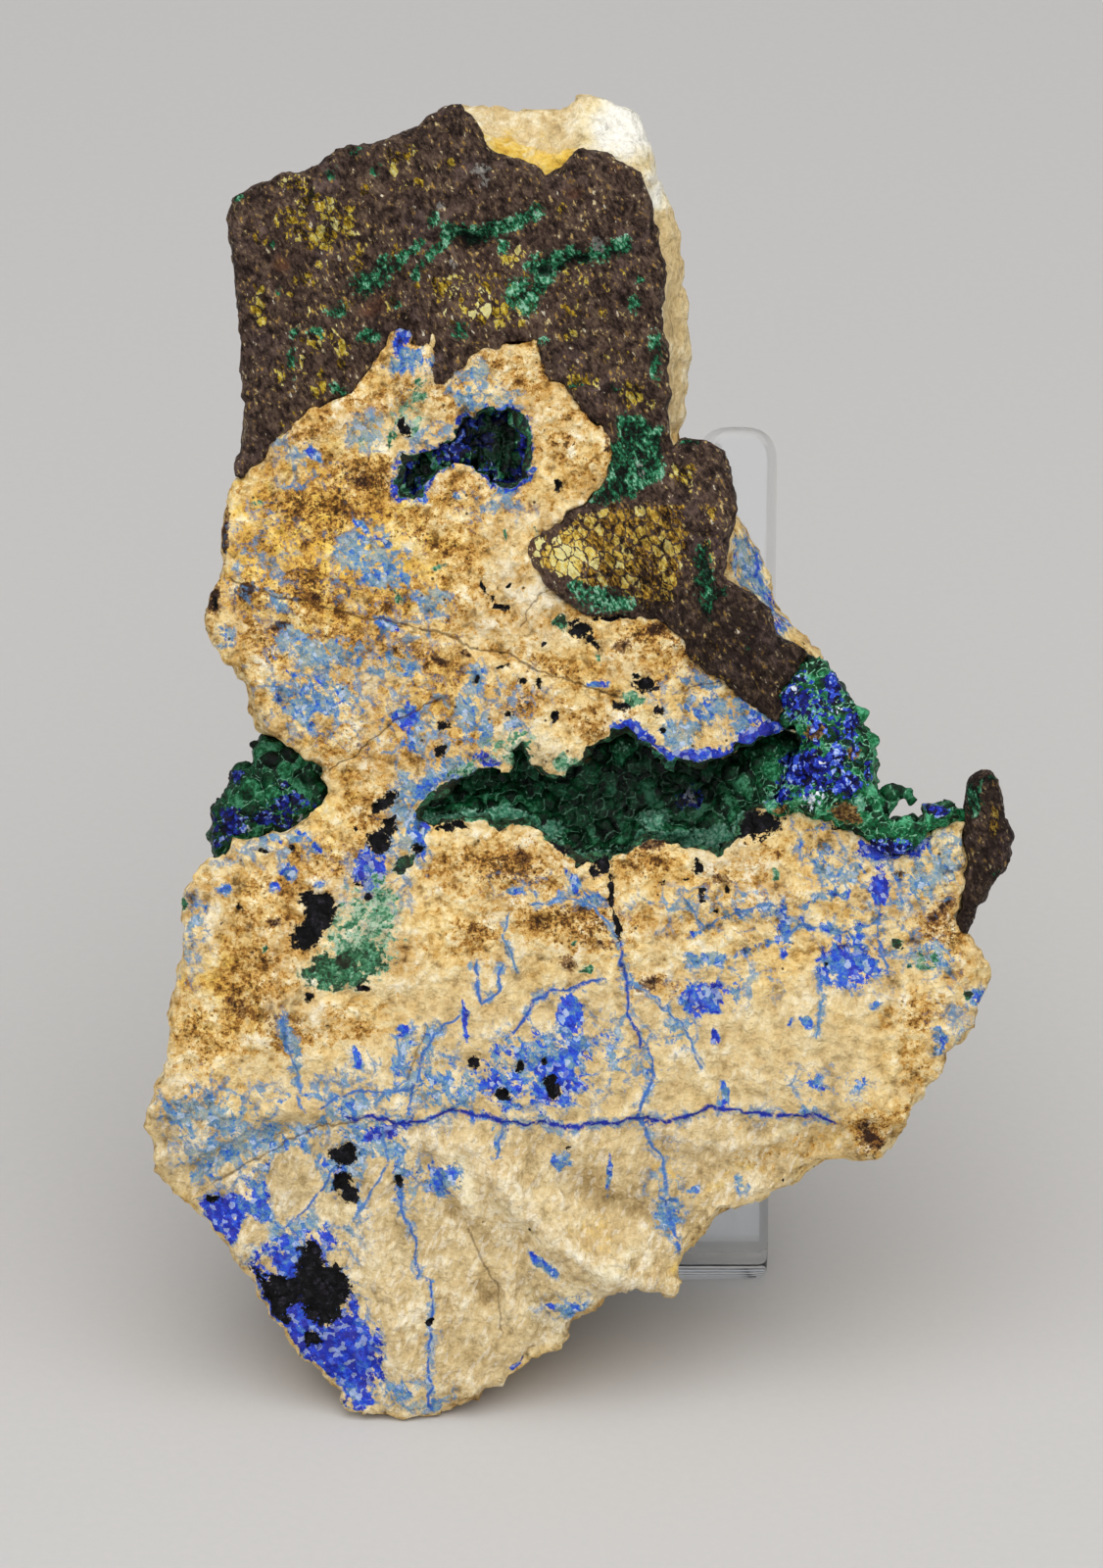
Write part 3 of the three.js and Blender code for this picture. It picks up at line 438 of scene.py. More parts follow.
# Each stain: strength, tone (0 pale steel blue, 1 deep ultramarine), u, v, half width, half height, turn.
AZURITE_STAINS = (
    (0.46, 0.0, -4, 121.4, 1.2, 0.9), (0.48, 0.05, -8, 119.6, 1.8, 1), (0.48, 0.0, -20, 113, 2.2, 2),
    (0.5, 0.1, 15, 79.4, 2, 2), (0.95, 0.8, 24.6, 94.6, 0.8, 1.6, 20), (0.9, 0.7, 25.4, 92, 0.8, 1.2),
    (0.8, 0.35, 22.4, 98.8, 1.5, 2.6), (0.7, 0.3, 24, 95, 1.6, 4, 20),
    (0.95, 0.9, -16.4, 123.4, 0.8, 1.8, -15), (0.56, 0.3, -16, 120.8, 2.2, 1.5),
    (0.36, 0.2, -8, 117.4, 5, 2.6, 20), (0.44, 0.35, -9.5, 116.6, 2.2, 1.4),
    (0.39, 0.2, -4.5, 116.6, 2, 1.2), (0.34, 0.2, -13, 112.6, 2.4, 1.5),
    (0.8, 0.6, -26, 110.5, 1.5, 0.35, -45), (0.44, 0.3, -28.5, 107.5, 1.3, 0.8),
    (0.85, 0.5, -20.5, 102.3, 1.2, 0.35, -40), (0.85, 0.5, -18.5, 100.8, 1.2, 0.35, -30),
    (0.49, 0.2, -20, 99.5, 3.6, 2.4), (0.52, 0.3, -18, 97.2, 3.2, 1.5), (0.34, 0.1, -30, 94, 1.8, 1.2),
    (0.39, 0.2, -28, 90, 2.2, 1.4), (0.44, 0.3, -35.8, 90, 1, 1.4), (0.66, 0.35, -26, 83, 3.4, 2.4),
    (0.85, 0.7, -28.5, 86, 1.2, 0.35, -20), (0.44, 0.25, -25, 88.3, 5, 1.8),
    (0.8, 0.6, -18, 91.5, 1.6, 0.4, -25), (0.44, 0.25, -17, 87, 2.6, 1.4), (0.36, 0.2, -13, 94, 2.6, 1.8),
    (0.72, 0.6, -15.8, 81.3, 1.5, 1.2), (0.54, 0.4, -14.6, 79, 1.3, 2.2, 20), (0.8, 0.6, -10, 106, 0.5),
    (0.36, 0.2, -6, 105, 2.2, 1.6), (0.44, 0.3, -8, 86, 1.2, 1.6), (0.54, 0.3, -9, 82, 1.3, 3),
    (0.44, 0.2, -7, 80, 1.2, 2), (0.9, 0.7, 5.7, 85, 1.3, 0.3), (0.49, 0.3, 18, 85, 1.5, 0.8),
    (0.49, 0.35, 19.5, 82, 5, 1.8, -12), (0.54, 0.3, 14, 79.5, 2, 1.4),
    (0.52, 0.3, -11.5, 75.2, 3, 1.2, 25), (0.98, 0.9, -7, 76.6, 1.1, 0.8), (0.54, 0.3, -3.5, 80.6, 1.5, 1),
    (0.62, 0.5, 22, 81, 2.6, 1.2, 20), (0.54, 0.2, -16, 70.5, 1.8, 4.4), (0.8, 0.6, -14.3, 68, 0.7, 2.6),
    (0.96, 0.85, -19.9, 64.2, 1.5, 2.2, -10), (0.64, 0.5, -29, 64, 1, 0.9), (0.69, 0.6, -30.3, 62.4, 0.6),
    (0.54, 0.4, -36, 62, 1.2, 0.6), (0.39, 0.3, -39, 59.5, 1.1, 1.7),
    (0.9, 0.8, -25.8, 66.8, 0.8, 0.25, -45), (0.9, 0.7, -27.7, 68.5, 0.7, 0.25, -50),
    (0.8, 0.6, -25.3, 62.9, 0.5, 0.3), (1.1, 1, -9.3, 47.6, 0.3, 1.8, 5), (0.8, 0.7, -16, 46.5, 0.7),
    (0.49, 0.4, -16, 44.4, 1.1, 2.8, -15), (0.44, 0.35, -28.6, 44.4, 1, 3.8, 10),
    (0.39, 0.3, -13, 40.4, 4, 2.4, 20), (0.95, 0.8, -21.3, 43.6, 0.35, 0.9, 10),
    (0.85, 0.7, 2.5, 47.5, 1.2, 2.8), (0.46, 0.5, -1.5, 43, 6, 3.4), (0.58, 0.7, -5, 40.4, 4, 2.2),
    (0.66, 0.75, 0.6, 41.4, 3.2, 2.8), (0.66, 0.6, 3, 44, 1.8, 2.4), (0.44, 0.4, -9, 40, 2.6, 2.5),
    (0.52, 0.4, 7, 43.5, 0.6, 2.6), (0.44, 0.4, 10.8, 43, 0.6, 2.4), (0.42, 0.3, 14.5, 46.5, 1.8, 2.2, -40),
    (0.95, 0.8, 2.8, 63, 0.25, 1, 30), (0.44, 0.4, -3.3, 62, 1, 0.6), (0.36, 0.3, 3.5, 61.2, 3.6, 1.2),
    (0.88, 0.8, 17.3, 50.3, 1.9, 1.6), (0.54, 0.4, 20.8, 51, 0.5, 1.2), (1, 1, 18.6, 45.7, 0.35, 0.7),
    (0.56, 0.4, 16.8, 54.3, 1.9, 0.8, 10), (0.82, 0.75, 33.3, 54.1, 2.8, 2.8),
    (0.95, 0.9, 36.8, 62.2, 0.8, 1.9), (0.69, 0.6, 26, 58, 0.6, 2.7), (1.1, 1, 37.8, 67, 2.6, 1.2, 0),
    (0.9, 0.9, 41, 67.5, 1.4, 0.8, 40), (0.64, 0.6, 27, 47.5, 0.5), (0.64, 0.6, 28.7, 47.5, 0.5),
    (0.66, 0.6, 36.2, 49.3, 0.6, 0.5), (0.64, 0.5, 30, 40.7, 1, 0.6), (0.54, 0.4, 28.5, 37.9, 1, 0.7),
    (0.56, 0.4, 34.5, 40.5, 0.8, 0.6), (0.52, 0.25, 42.5, 54.3, 2.4, 1.8),
    (0.72, 0.6, 47.7, 50.2, 0.8, 1.2), (0.66, 0.5, 43.5, 45.5, 0.7, 1.5),
    (0.46, 0.15, 42, 62.8, 3.2, 1.6, 50), (0.44, 0.2, 44.4, 66, 1.6, 3), (0.32, 0.3, 33, 64, 4, 2),
    (0.28, 0.3, 30, 66.4, 3, 2), (0.49, 0.3, -22, 38.4, 3, 1.8), (0.46, 0.3, -20, 33, 4, 5),
    (0.44, 0.3, -30, 34, 6, 1.8, 20), (0.56, 0.2, -38, 37.6, 5, 1.8), (0.44, 0.2, -36, 33, 5, 2.4, 20),
    (1.05, 1, -36.6, 25.6, 2.6, 2.2, 40), (0.72, 0.7, -33, 27, 3.2, 2.2, 40),
    (0.98, 1, -18.2, 35.3, 2.6, 0.6, 18), (0.42, 0.2, -27, 26, 5, 3, 30),
    (0.62, 0.8, -29, 21.4, 5, 2.6, 35), (1, 1, -27.6, 16, 6, 4.6, -40), (1.02, 1, -23, 10.6, 3.6, 4.2, 30),
    (0.8, 0.8, -21.6, 6.6, 2, 2.2), (0.46, 0.3, -16.5, 6.4, 2, 1), (0.56, 0.4, -12.6, 4, 0.7, 1.6),
    (0.66, 0.5, -12, 30, 2.2, 1.6), (0.54, 0.4, -17, 31, 1.2, 3), (0.88, 0.5, 1.5, 32, 1, 1.1, 30),
    (0.98, 0.7, 6.6, 30.8, 0.22, 1.9), (0.8, 0.4, -5.9, 34.2, 0.25, 1.7, 10),
    (0.88, 0.6, 19.5, 39.2, 0.45, 1.5, 10), (0.6, 0.35, 13.5, 25.6, 1.5, 2.3),
    (0.8, 0.6, 16.3, 28.8, 0.5, 0.4), (0.98, 0.6, -0.6, 20.6, 0.35, 1.8, 48),
    (0.9, 0.55, 2.3, 15.4, 2.2, 0.6, -12), (0.9, 0.8, -3.4, 9, 0.8, 0.5, 40),
    (0.42, 0.3, 21.5, 29, 0.6, 1.4, 10), (0.54, 0.35, 22.5, 99.5, 1.5, 3.2),
    (0.56, 0.4, 26.2, 91.8, 0.9, 1.8), (0.34, 0.15, 11, 146, 0.6, 2), (0.44, 0.3, -33, 68.5, 1.5, 1),
    (0.44, 0.3, -29, 68, 2.5, 0.8))

# Broad areas where fine flecks of azurite pepper the rock: strength, u, v, half width, half height, turn.
BLUE_HAZES = (
    (0.33, -20, 98.5, 6, 6), (0.4, -26, 84, 9, 6), (0.38, -13, 80, 8, 6), (0.32, -4, 83, 5, 5),
    (0.3, -32, 98, 5, 9), (0.4, 19, 82.6, 9, 3.4, -15), (0.36, -28, 110.5, 6, 2.4, -35),
    (0.38, -8, 116.6, 5, 2.6), (0.36, -14, 114.5, 4, 4), (0.3, -6, 104.4, 5, 2.6), (0.34, -16, 91, 6, 3),
    (0.46, -37, 37, 8, 4.4), (0.42, -28, 30, 8, 6), (0.42, -21, 38.4, 6, 5), (0.36, -13, 41, 5, 6),
    (0.4, -16, 30.4, 4, 4), (0.42, -27, 24, 7, 5), (0.4, -33, 66.4, 8, 2.4), (0.4, -16, 69, 3, 6),
    (0.36, -19, 63, 5, 5), (0.4, 0, 42.6, 8, 6), (0.34, 8, 45, 6, 5), (0.34, 18, 60, 10, 3.4),
    (0.3, 20, 52, 8, 3), (0.28, 36, 57, 7, 7), (0.46, 41, 64.5, 5, 4.4, 40), (0.36, 33, 66, 5, 3),
    (0.36, 30, 70, 4, 3), (0.3, 0, 62.6, 8, 2), (0.3, 45, 47, 3, 6), (0.3, 30, 40, 6, 3),
    (0.3, 13, 30, 3, 6), (0.4, -14, 5, 5, 3), (0.34, 2, 15.6, 4, 2), (0.3, -40, 57, 3, 6))

# Blue rims along the upper lip of the hollow, and other broad lines: strength, tone, half width, points.
AZURITE_STROKES = (
    (0.72, 0.35, 0.9, ((-14.6, 72.6), (-12, 74.2), (-9, 75.6))),
    (0.95, 0.95, 0.7, ((8, 80.2), (9.8, 79.8), (11.6, 78), (12.8, 76.6))),
    (1.0, 0.95, 0.45, ((12.8, 76.5), (17, 76.8), (19.5, 77.4), (21.6, 78.4))),
    (1.05, 1.0, 0.75, ((22, 79.2), (24, 80.1), (26, 80.7), (27.6, 81.2))),
    (0.9, 0.9, 0.5, ((35, 69.4), (36.8, 67.2), (38.6, 65.9))),
    (0.85, 0.85, 0.5, ((22.2, 100.6), (23, 98.8), (23.8, 96.8), (24.4, 95.2))),
    (0.5, 0.4, 0.5, ((15, 54.5), (20, 54.5), (24, 56), (26, 57))),
    (0.5, 0.45, 0.5, ((16, 57), (20, 59.5), (25, 60.3), (26.2, 56))),
    (0.5, 0.45, 0.5, ((27, 59), (29, 58.2), (33, 57.8))),
    (0.5, 0.45, 0.5, ((28, 60), (30, 61.5), (34, 61.5), (37, 61.5), (39, 60.5))),
    (0.6, 0.3, 0.6, ((-40, 30), (-36, 32.6), (-33, 34), (-30, 36))),
    (0.7, 0.7, 0.7, ((-22, 33), (-23.5, 28), (-25, 24))),
    (0.55, 0.3, 0.9, ((-16, 40), (-14, 42.5), (-13, 46))),
    (0.62, 0.3, 0.5, ((-31.8, 26), (-32, 30), (-30.4, 33.2), (-27.6, 34), (-25.6, 32), (-24.8, 28.4))),
    (0.6, 0.3, 0.4, ((-21, 27), (-21, 30.6), (-19, 33.2), (-17, 32.2), (-16.6, 28.4))),
    (0.6, 0.4, 0.4, ((-29.6, 38.6), (-27, 39.6), (-24.6, 38.6), (-24.8, 36.6))))

# Clean cream nodules that stand in the blue: strength, u, v, half width, half height, turn.
CREAM_ISLANDS = (
    (0.5, -17, 123.6, 0.5, 1.4), (0.5, -3.4, 120.4, 2.4, 2.2), (0.4, -13, 116, 2, 1.2),
    (1, -28.4, 29.4, 2.2, 3), (1, -18.9, 30.2, 1.3, 2.2), (1, -27, 37.8, 1.8, 1),
    (0.8, -24, 26.6, 1.6, 1.2), (0.7, -33, 24.6, 1, 1.4, 40))

# Thin veins: half width in mm, tone, points.
BLUE_VEINS = (
    (0.24, 1.0, MAIN_VEIN),
    (0.16, 0.5, ((-8, 54), (-8, 51), (-7.5, 49.8), (-5.5, 51), (-5.3, 53.5))),
    (0.16, 0.5, ((-10, 48), (-13, 46), (-14.6, 42), (-15.5, 38))),
    (0.2, 0.4, ((-29.5, 48), (-28.7, 44), (-27.5, 40.5), (-27, 38))),
    (0.17, 0.7, ((-4.5, 45.5), (-3, 47.5), (-2, 49.5), (0, 50.8), (2, 50.8), (4, 51.8), (6, 52.5))),
    (0.16, 0.5, ((11, 44.5), (11.3, 41), (10.3, 38.5), (10.2, 37))),
    (0.14, 0.4, ((13, 49.5), (14.5, 47.5), (16, 44.5), (16.5, 42.8))),
    (0.2, 0.8, ((8, 55.7), (8.5, 52), (9, 48), (10.4, 45))),
    (0.18, 0.45, ((10.2, 37), (10.8, 35.5), (11.5, 34), (12.7, 32.5), (12.9, 30.5), (13.3, 29))),
    (0.22, 0.55, ((13.2, 27), (14, 25), (14.3, 23.5), (15, 21.5))),
    (0.18, 0.6, ((-13, 3.4), (-13.3, 6), (-13.2, 10), (-13, 14), (-13.2, 18.5))),
    (0.16, 0.5, ((-14.3, 19), (-15, 24.5), (-16.3, 26.5), (-16.8, 29))),
    (0.18, 0.45, ((-4.6, 36.4), (-5.4, 34.6), (-5.9, 32.8))),
    (0.14, 0.3, ((-17, 46), (-16, 41), (-19, 38.5))),
    (0.15, 0.5, ((-25, 38), (-22, 40), (-18, 39.5), (-14, 40.5))),
    (0.14, 0.35, ((15, 61), (17.5, 58), (20, 59.5), (25, 60.4))),
    (0.14, 0.4, ((26, 56.5), (28, 58.4), (33, 57.7), (37, 58.8))),
    (0.13, 0.4, ((-1.5, 60.5), (2, 61.4), (5, 60.4), (7.5, 57))),
    (0.14, 0.4, ((36.6, 61), (36.4, 57.6), (37.5, 53))),
    (0.12, 0.35, ((8.6, 52.4), (11, 51), (13, 48.6))),
    (0.13, 0.3, ((30, 54), (30.3, 50), (29.6, 46))),
    (0.14, 0.3, ((-3.4, 53.4), (-5.2, 56.5), (-4.6, 59.5))),
    (0.14, 0.5, ((-33.5, 27.5), (-29.5, 24.5), (-26.5, 26.6), (-23.6, 31.6))),
    (0.16, 0.4, ((-21.4, 26), (-19.6, 28.4), (-18.2, 32.4), (-18.4, 35.4))))

# Each malachite stain: strength, tone (0 pale, 1 near black), u, v, half width, half height, turn.
MALACHITE_STAINS = (
    (0.85, 0.4, -3.3, 113.6, 0.8), (0.95, 0.5, -16.7, 94.6, 0.3, 1, 20),
    (0.95, 0.5, -4.7, 101.5, 0.25, 0.8), (0.95, 0.4, -17.8, 112, 0.35, 1.2),
    (0.55, 0.3, -14.3, 117.5, 1, 1.8), (0.6, 0.4, -32.3, 105, 0.7, 0.5), (0.5, 0.3, -12, 98, 1, 0.5),
    (0.42, 0.1, -15.5, 114.5, 2.4, 3), (0.45, 0.2, -20.5, 112, 1.2, 1), (0.95, 0.6, 1.5, 91.8, 0.9, 0.8),
    (0.9, 0.45, 9.4, 83.4, 1.4, 0.8), (0.55, 0.15, -4.4, 78, 3, 2.2), (0.7, 0.2, 2.2, 76.2, 2, 0.9),
    (0.62, 0.16, -21, 57, 5, 5.4), (0.9, 0.5, -20.4, 54.6, 3, 2.2), (0.95, 0.65, -24, 53.6, 2.6, 1.8),
    (0.7, 0.2, -18.6, 60, 2.2, 3), (0.96, 0.6, -23.5, 52.8, 3.8, 1.6), (1.1, 1, -22.8, 54, 1.2),
    (1, 0.9, -15.9, 65.2, 1.4, 0.8, 45), (0.95, 0.6, -40.7, 61, 0.4, 1),
    (0.95, 0.5, -31.5, 55.6, 0.25, 0.7, 20), (0.72, 0.4, 4.2, 53.3, 0.8, 0.6), (0.9, 0.5, 2.8, 56.5, 0.3),
    (0.95, 0.9, 38.7, 56, 0.6), (0.85, 0.8, 46.5, 50.4, 0.7), (0.42, 0.3, 42, 54, 2.6, 2),
    (0.8, 0.3, 25.1, 63.8, 0.4, 0.7), (0.6, 0.2, -19, 62, 1.4, 2), (0.7, 0.5, 5.6, 87.8, 0.3, 0.9),
    (0.6, 0.4, -1.4, 101.6, 0.3, 0.9), (0.6, 0.3, 7.4, 75.8, 1.4, 0.8),
    (0.75, 0.3, -9.4, 75.6, 1.6, 0.6, 25), (0.6, 0.5, -38.6, 65, 1.4, 0.5, 30))

# Black manganese oxide: strength, u, v, half width, half height, turn.
BLACK_SPOTS = (
    (1, -16.2, 113.3, 0.6, 1), (1, 1.3, 107, 0.65, 0.9), (1, -5.3, 93.5, 1, 0.5), (0.9, -4.6, 96.1, 0.35),
    (0.8, -7.2, 95.6, 0.3, 1.4, 25), (0.8, -6.1, 94.8, 0.2, 1.1, -10), (1, -0.4, 89.3, 0.4),
    (0.95, 10.5, 84.9, 1.5, 1), (0.85, 9.4, 86, 0.5), (0.95, 8, 82.5, 1, 0.6), (0.9, 12, 82, 0.7),
    (1, 0.7, 81.4, 0.5, 0.7), (0.9, 12.8, 79.8, 0.4, 0.5), (1, -12, 77.5, 0.7), (0.7, -11.5, 80.2, 1, 1),
    (0.95, -1, 85.2, 0.6, 0.5), (0.85, -3, 85.4, 0.5), (0.9, -8, 85.3, 0.55, 0.3, 30),
    (0.85, -5, 86.8, 0.9, 0.2, 20), (0.85, -4.5, 81.6, 0.8, 0.45), (1, -18.3, 71.9, 1.8, 0.8, 35),
    (1, -18.7, 67.6, 1.6, 1.4), (0.95, -14.5, 67, 0.8), (1, -17.6, 69.4, 0.9),
    (0.9, -21.5, 69, 0.55, 0.25, -50), (0.9, -20.5, 51.3, 1.1, 0.4), (0.95, -26.5, 50.2, 0.7, 0.6),
    (1, 3.6, 91.2, 1.4, 1), (1, 4.9, 89.6, 1.4, 0.5, -40), (0.95, 7, 92.3, 2.8, 0.4),
    (0.9, -11, 69, 2, 0.5), (0.9, 0.9, 66.6, 1.2, 0.5, -35), (1, 6.2, 65, 1.3, 0.8),
    (0.85, 3.4, 65.2, 1, 0.5), (1.05, 22.9, 69.2, 3, 1.4, 10), (0.95, 16.7, 65, 0.45, 0.9),
    (0.85, 17, 62, 0.4), (0.85, 17.1, 61, 0.35), (0.8, 15.6, 63.4, 0.35), (0.85, 13, 63, 0.4),
    (0.85, 19.5, 62.3, 0.4), (0.85, 18.5, 59.8, 0.4), (1.1, -8.3, 43.1, 0.8), (1.1, -3.3, 42.5, 0.6),
    (1.1, -5, 39.6, 0.8), (1.1, 0, 41, 0.7), (1.1, 0.7, 39.8, 0.8), (1, -0.7, 43, 0.4),
    (1, 7.2, 61.6, 0.35, 2.2, 4), (1, 7.6, 58.4, 0.45, 2.4, 6), (1.15, -22.7, 32.6, 1.5, 1.3),
    (1.1, -22.6, 29.4, 1.2, 1.2), (1.1, -21.9, 28.2, 0.8, 1), (1, -16.7, 29.8, 0.5, 0.8, 20),
    (0.95, -37.2, 27.6, 1, 0.6), (1.1, -29.9, 13.8, 0.95), (1.1, -26.3, 12.1, 0.95), (0.9, -13, 14.3, 0.5),
    (0.9, -34.2, 60.4, 0.5), (0.85, -36.2, 58.4, 0.5), (0.85, -31.6, 66.4, 0.5, 0.35),
    (0.85, -28.6, 66.7, 0.5, 0.3), (0.9, -21.4, 62.6, 0.3, 0.7, 35), (0.85, -20.3, 61.4, 0.7, 0.4, 30),
    (0.8, 30.9, 54.1, 0.5), (0.8, 32, 69.4, 0.9, 0.6), (0.75, -0.3, 122, 0.2), (0.75, -1.6, 120.4, 0.2),
    (0.75, -2.8, 119.2, 0.2), (0.75, 0.3, 117.6, 0.2), (0.75, -2.4, 122, 0.2), (0.8, -9.8, 29.8, 0.2),
    (0.8, 26.3, 29.9, 0.3), (0.75, -24.4, 46.9, 0.3), (0.75, -7.4, 25.2, 0.3), (0.7, 2.3, 33.6, 0.3),
    (0.75, -2.2, 24.4, 0.3), (0.8, -36.8, 94, 0.6, 0.9), (0.85, 5, 64, 0.5))

# Its two broad patches, as outlines.
BLACK_PATCHES = (
    (
        (-33, 19.6), (-31.5, 18.5), (-30, 19.8), (-29, 19), (-28, 18.8), (-27.6, 20.5), (-27.5, 22.5),
        (-26.2, 23.4), (-25.5, 22.5), (-25.3, 21), (-23.5, 20.5), (-22.3, 19), (-21.9, 17), (-22.8, 16.4),
        (-23, 14.8), (-24.4, 13.6), (-26.2, 14), (-27.4, 15), (-27.6, 16.4), (-28.7, 16), (-29.6, 14.4),
        (-31.2, 14.8), (-32.4, 16.8)),
    (
        (-27.8, 61.5), (-26.5, 62.2), (-24.5, 62), (-23.7, 61.2), (-23.8, 59.5), (-24.5, 58), (-25.5, 57),
        (-26, 55.7), (-28.7, 56), (-28.4, 58), (-27, 58.7), (-26.8, 60)))

# Limonite mottling, from scattered ochre grains to solid brown:
# strength, u, v, half width, half height, turn.
OCHRE_MOTTLES = (
    (0.5, -26, 113, 5, 2, 25), (0.46, -20, 115.5, 5, 3, 30), (0.5, -15, 117, 3, 3), (0.46, -3, 120, 4, 3),
    (0.5, 1, 113, 4, 4), (0.66, -25, 104, 9, 6), (0.52, -22, 94, 14, 12), (0.42, -10, 94, 7, 5),
    (0.42, 10, 88, 11, 5, -20), (0.4, -12, 80, 10, 5), (0.36, -8, 114, 8, 5), (0.4, -30, 56, 8, 10),
    (0.3, 20, 60, 16, 4), (0.64, -27, 95, 9, 5), (0.72, -20, 108, 7, 2.6, -20), (0.56, -15, 103, 6, 4),
    (0.56, -30, 90, 6, 4), (0.62, -16, 88.6, 8, 2.4, -20), (0.5, -10, 99, 4, 6), (0.5, -5, 106, 3.5, 2.6),
    (0.44, 3, 110, 4, 5), (0.56, -8, 120, 5, 2, 20), (0.5, -2, 119, 4, 3), (0.5, -10, 106, 5, 3),
    (0.46, -25, 85, 6, 4), (0.58, 0, 87, 8, 2, -20), (0.62, 12, 90, 6, 2.2, -15),
    (0.6, 17, 86.4, 4, 1.8, -20), (0.52, 6, 81, 6, 2.6), (0.45, -22, 78, 6, 5), (0.5, -12, 85, 5, 3.6),
    (0.52, -3, 83, 4, 3), (0.66, -5, 64.6, 8, 3.4), (0.66, 3, 58.6, 8, 3.6), (0.66, 11, 65.4, 4, 2.4),
    (0.5, 20, 63.6, 6, 2), (0.5, -24, 66, 8, 4), (0.58, -33, 52, 5, 7), (0.5, -36, 46, 5, 5),
    (0.5, -22, 47.6, 5, 3.4), (0.48, -38, 38, 5, 4), (0.5, 12, 51.4, 3.6, 2), (0.52, -8, 57, 4, 3),
    (0.66, 43.6, 58, 3, 3.6, 30), (0.62, 36, 35, 3.4, 3, -40), (0.45, 41, 44, 4, 5), (0.55, -20, 71, 4, 3),
    (0.5, 25, 66, 4, 2), (0.5, 28, 76, 3, 2), (0.5, -31, 100, 4, 6), (0.45, -33, 60, 4, 3),
    (0.42, 46, 52, 3, 3), (0.4, -18, 55, 3, 4), (0.42, 26, 33, 8, 1.6, 12), (0.5, -6, 111, 3, 6),
    (0.45, -14, 76, 3, 2), (0.5, -10, 148.6, 1.4, 1.2), (0.52, -38, 46.5, 6, 6), (0.5, -29, 46, 7, 3.4),
    (0.52, -24, 55, 5, 4), (0.5, -30, 61.6, 7, 3), (0.6, 44.4, 57, 3, 3.6), (0.55, 41, 48.5, 4, 3),
    (0.5, 40, 36.5, 5, 3))

# Rust, then pale areas, some of them painted highlights on the lower ridges, and golden areas: strength, u,
# v, half width, half height, turn.
RUST_SPOTS = (
    (0.9, -21, 107.5, 1.5, 0.7), (0.85, -29.5, 91.3, 1.8, 0.7, -10), (0.85, -33.5, 95.3, 1.2),
    (0.8, -26, 94.5, 1.5, 0.6), (0.8, -22, 104, 1.3, 0.9), (1, -12.6, 119.8, 0.8, 1.9, 15),
    (0.8, -9.5, 88.5, 1.2, 0.6), (0.8, 16, 85.5, 1.5, 0.5), (0.75, 8, 89, 1.2, 0.8),
    (0.8, 12, 91, 1.5, 0.7), (0.8, 43.4, 59.6, 2.2, 1, 45), (0.85, 36, 34.4, 2.6, 1.4, -40),
    (1.05, -36.2, 102, 0.8, 3.6), (1.05, -36.9, 94.4, 0.9, 1.8), (0.7, 2, 54, 1.2, 0.8),
    (0.75, 11, 52, 1.8, 1), (0.8, 11.6, 67.4, 1.6, 0.9), (0.65, -3, 65.6, 1.4), (0.7, 19, 63.4, 1.6, 0.7),
    (0.75, 3.6, 60, 1.4, 0.8), (0.7, 6, 56, 1.8, 0.8), (0.7, -34, 49, 2, 1.6), (0.65, -30, 47.6, 2.4, 1.2),
    (0.7, -0.6, 122.4, 1.6, 0.5, 20), (0.8, 3.4, 117.4, 0.6, 1.2), (0.7, 6.4, 112, 0.6, 2),
    (0.7, -30.4, 58.4, 1.6, 0.8), (0.75, -12.2, 87.8, 2, 0.5, -25), (0.7, 39, 63.8, 1, 0.6),
    (0.8, -34, 110.8, 1.2, 0.5, 30))
PALE_AREAS_AND_HIGHLIGHTS = (
    (0.52, 12.6, 80.8, 2.6, 1.8), (0.36, 1, 90, 7, 3, -25), (0.36, -5.5, 97, 3.6, 6),
    (1.15, 8.2, 146.8, 4.6, 4), (0.9, 11.6, 140, 2, 4), (0.8, -2, 78, 4, 2.2), (0.75, 9.5, 80.6, 3, 1.6),
    (0.7, 17, 65.4, 2, 1.6), (0.55, -20.5, 58, 3.4, 5), (0.6, 29.6, 70.6, 2.4, 1.2),
    (0.6, 6, 19.6, 3.6, 1.2, 20), (0.55, 26.6, 35.2, 2, 0.8), (0.5, 43.8, 66, 2, 3.6),
    (0.9, 17.5, 124, 2.6, 14), (0.45, 8, 88.5, 4, 4), (0.45, 16, 91, 3, 3), (0.5, -14.5, 113.6, 2.4, 2),
    (0.5, -5, 113.4, 2, 2.4), (0.45, 3, 112, 2.4, 2.4), (0.35, -24, 22, 12, 12), (0.45, 24, 100, 2, 4),
    (0.4, -38, 37, 4, 2), (0.45, 4, 15, 12, 6), (0.35, 0, 28, 6, 6), (0.66, -9.6, 30.4, 1.4, 4, 25),
    (0.55, -3.4, 25.6, 1.2, 4.6, 48), (0.45, 8, 21.4, 4, 1, 20), (0.5, -11.5, 36.2, 2.6, 1))
GOLDEN_AREAS = (
    (1.35, -3, 144.8, 5.4, 3.4), (1.2, 2, 142.4, 3.6, 2.2), (0.5, 14, 19.6, 1.6, 2.4),
    (0.45, 22, 30, 8, 3, 15), (0.42, 34, 33.5, 5, 2.6), (0.4, 12, 30, 4, 4), (0.85, -24, 100, 14, 12),
    (0.5, -28, 72, 10, 10), (0.36, 5, 24, 6, 5), (0.55, -35, 50, 7, 9), (0.5, -14, 84, 8, 8),
    (0.45, 8, 88, 12, 8))

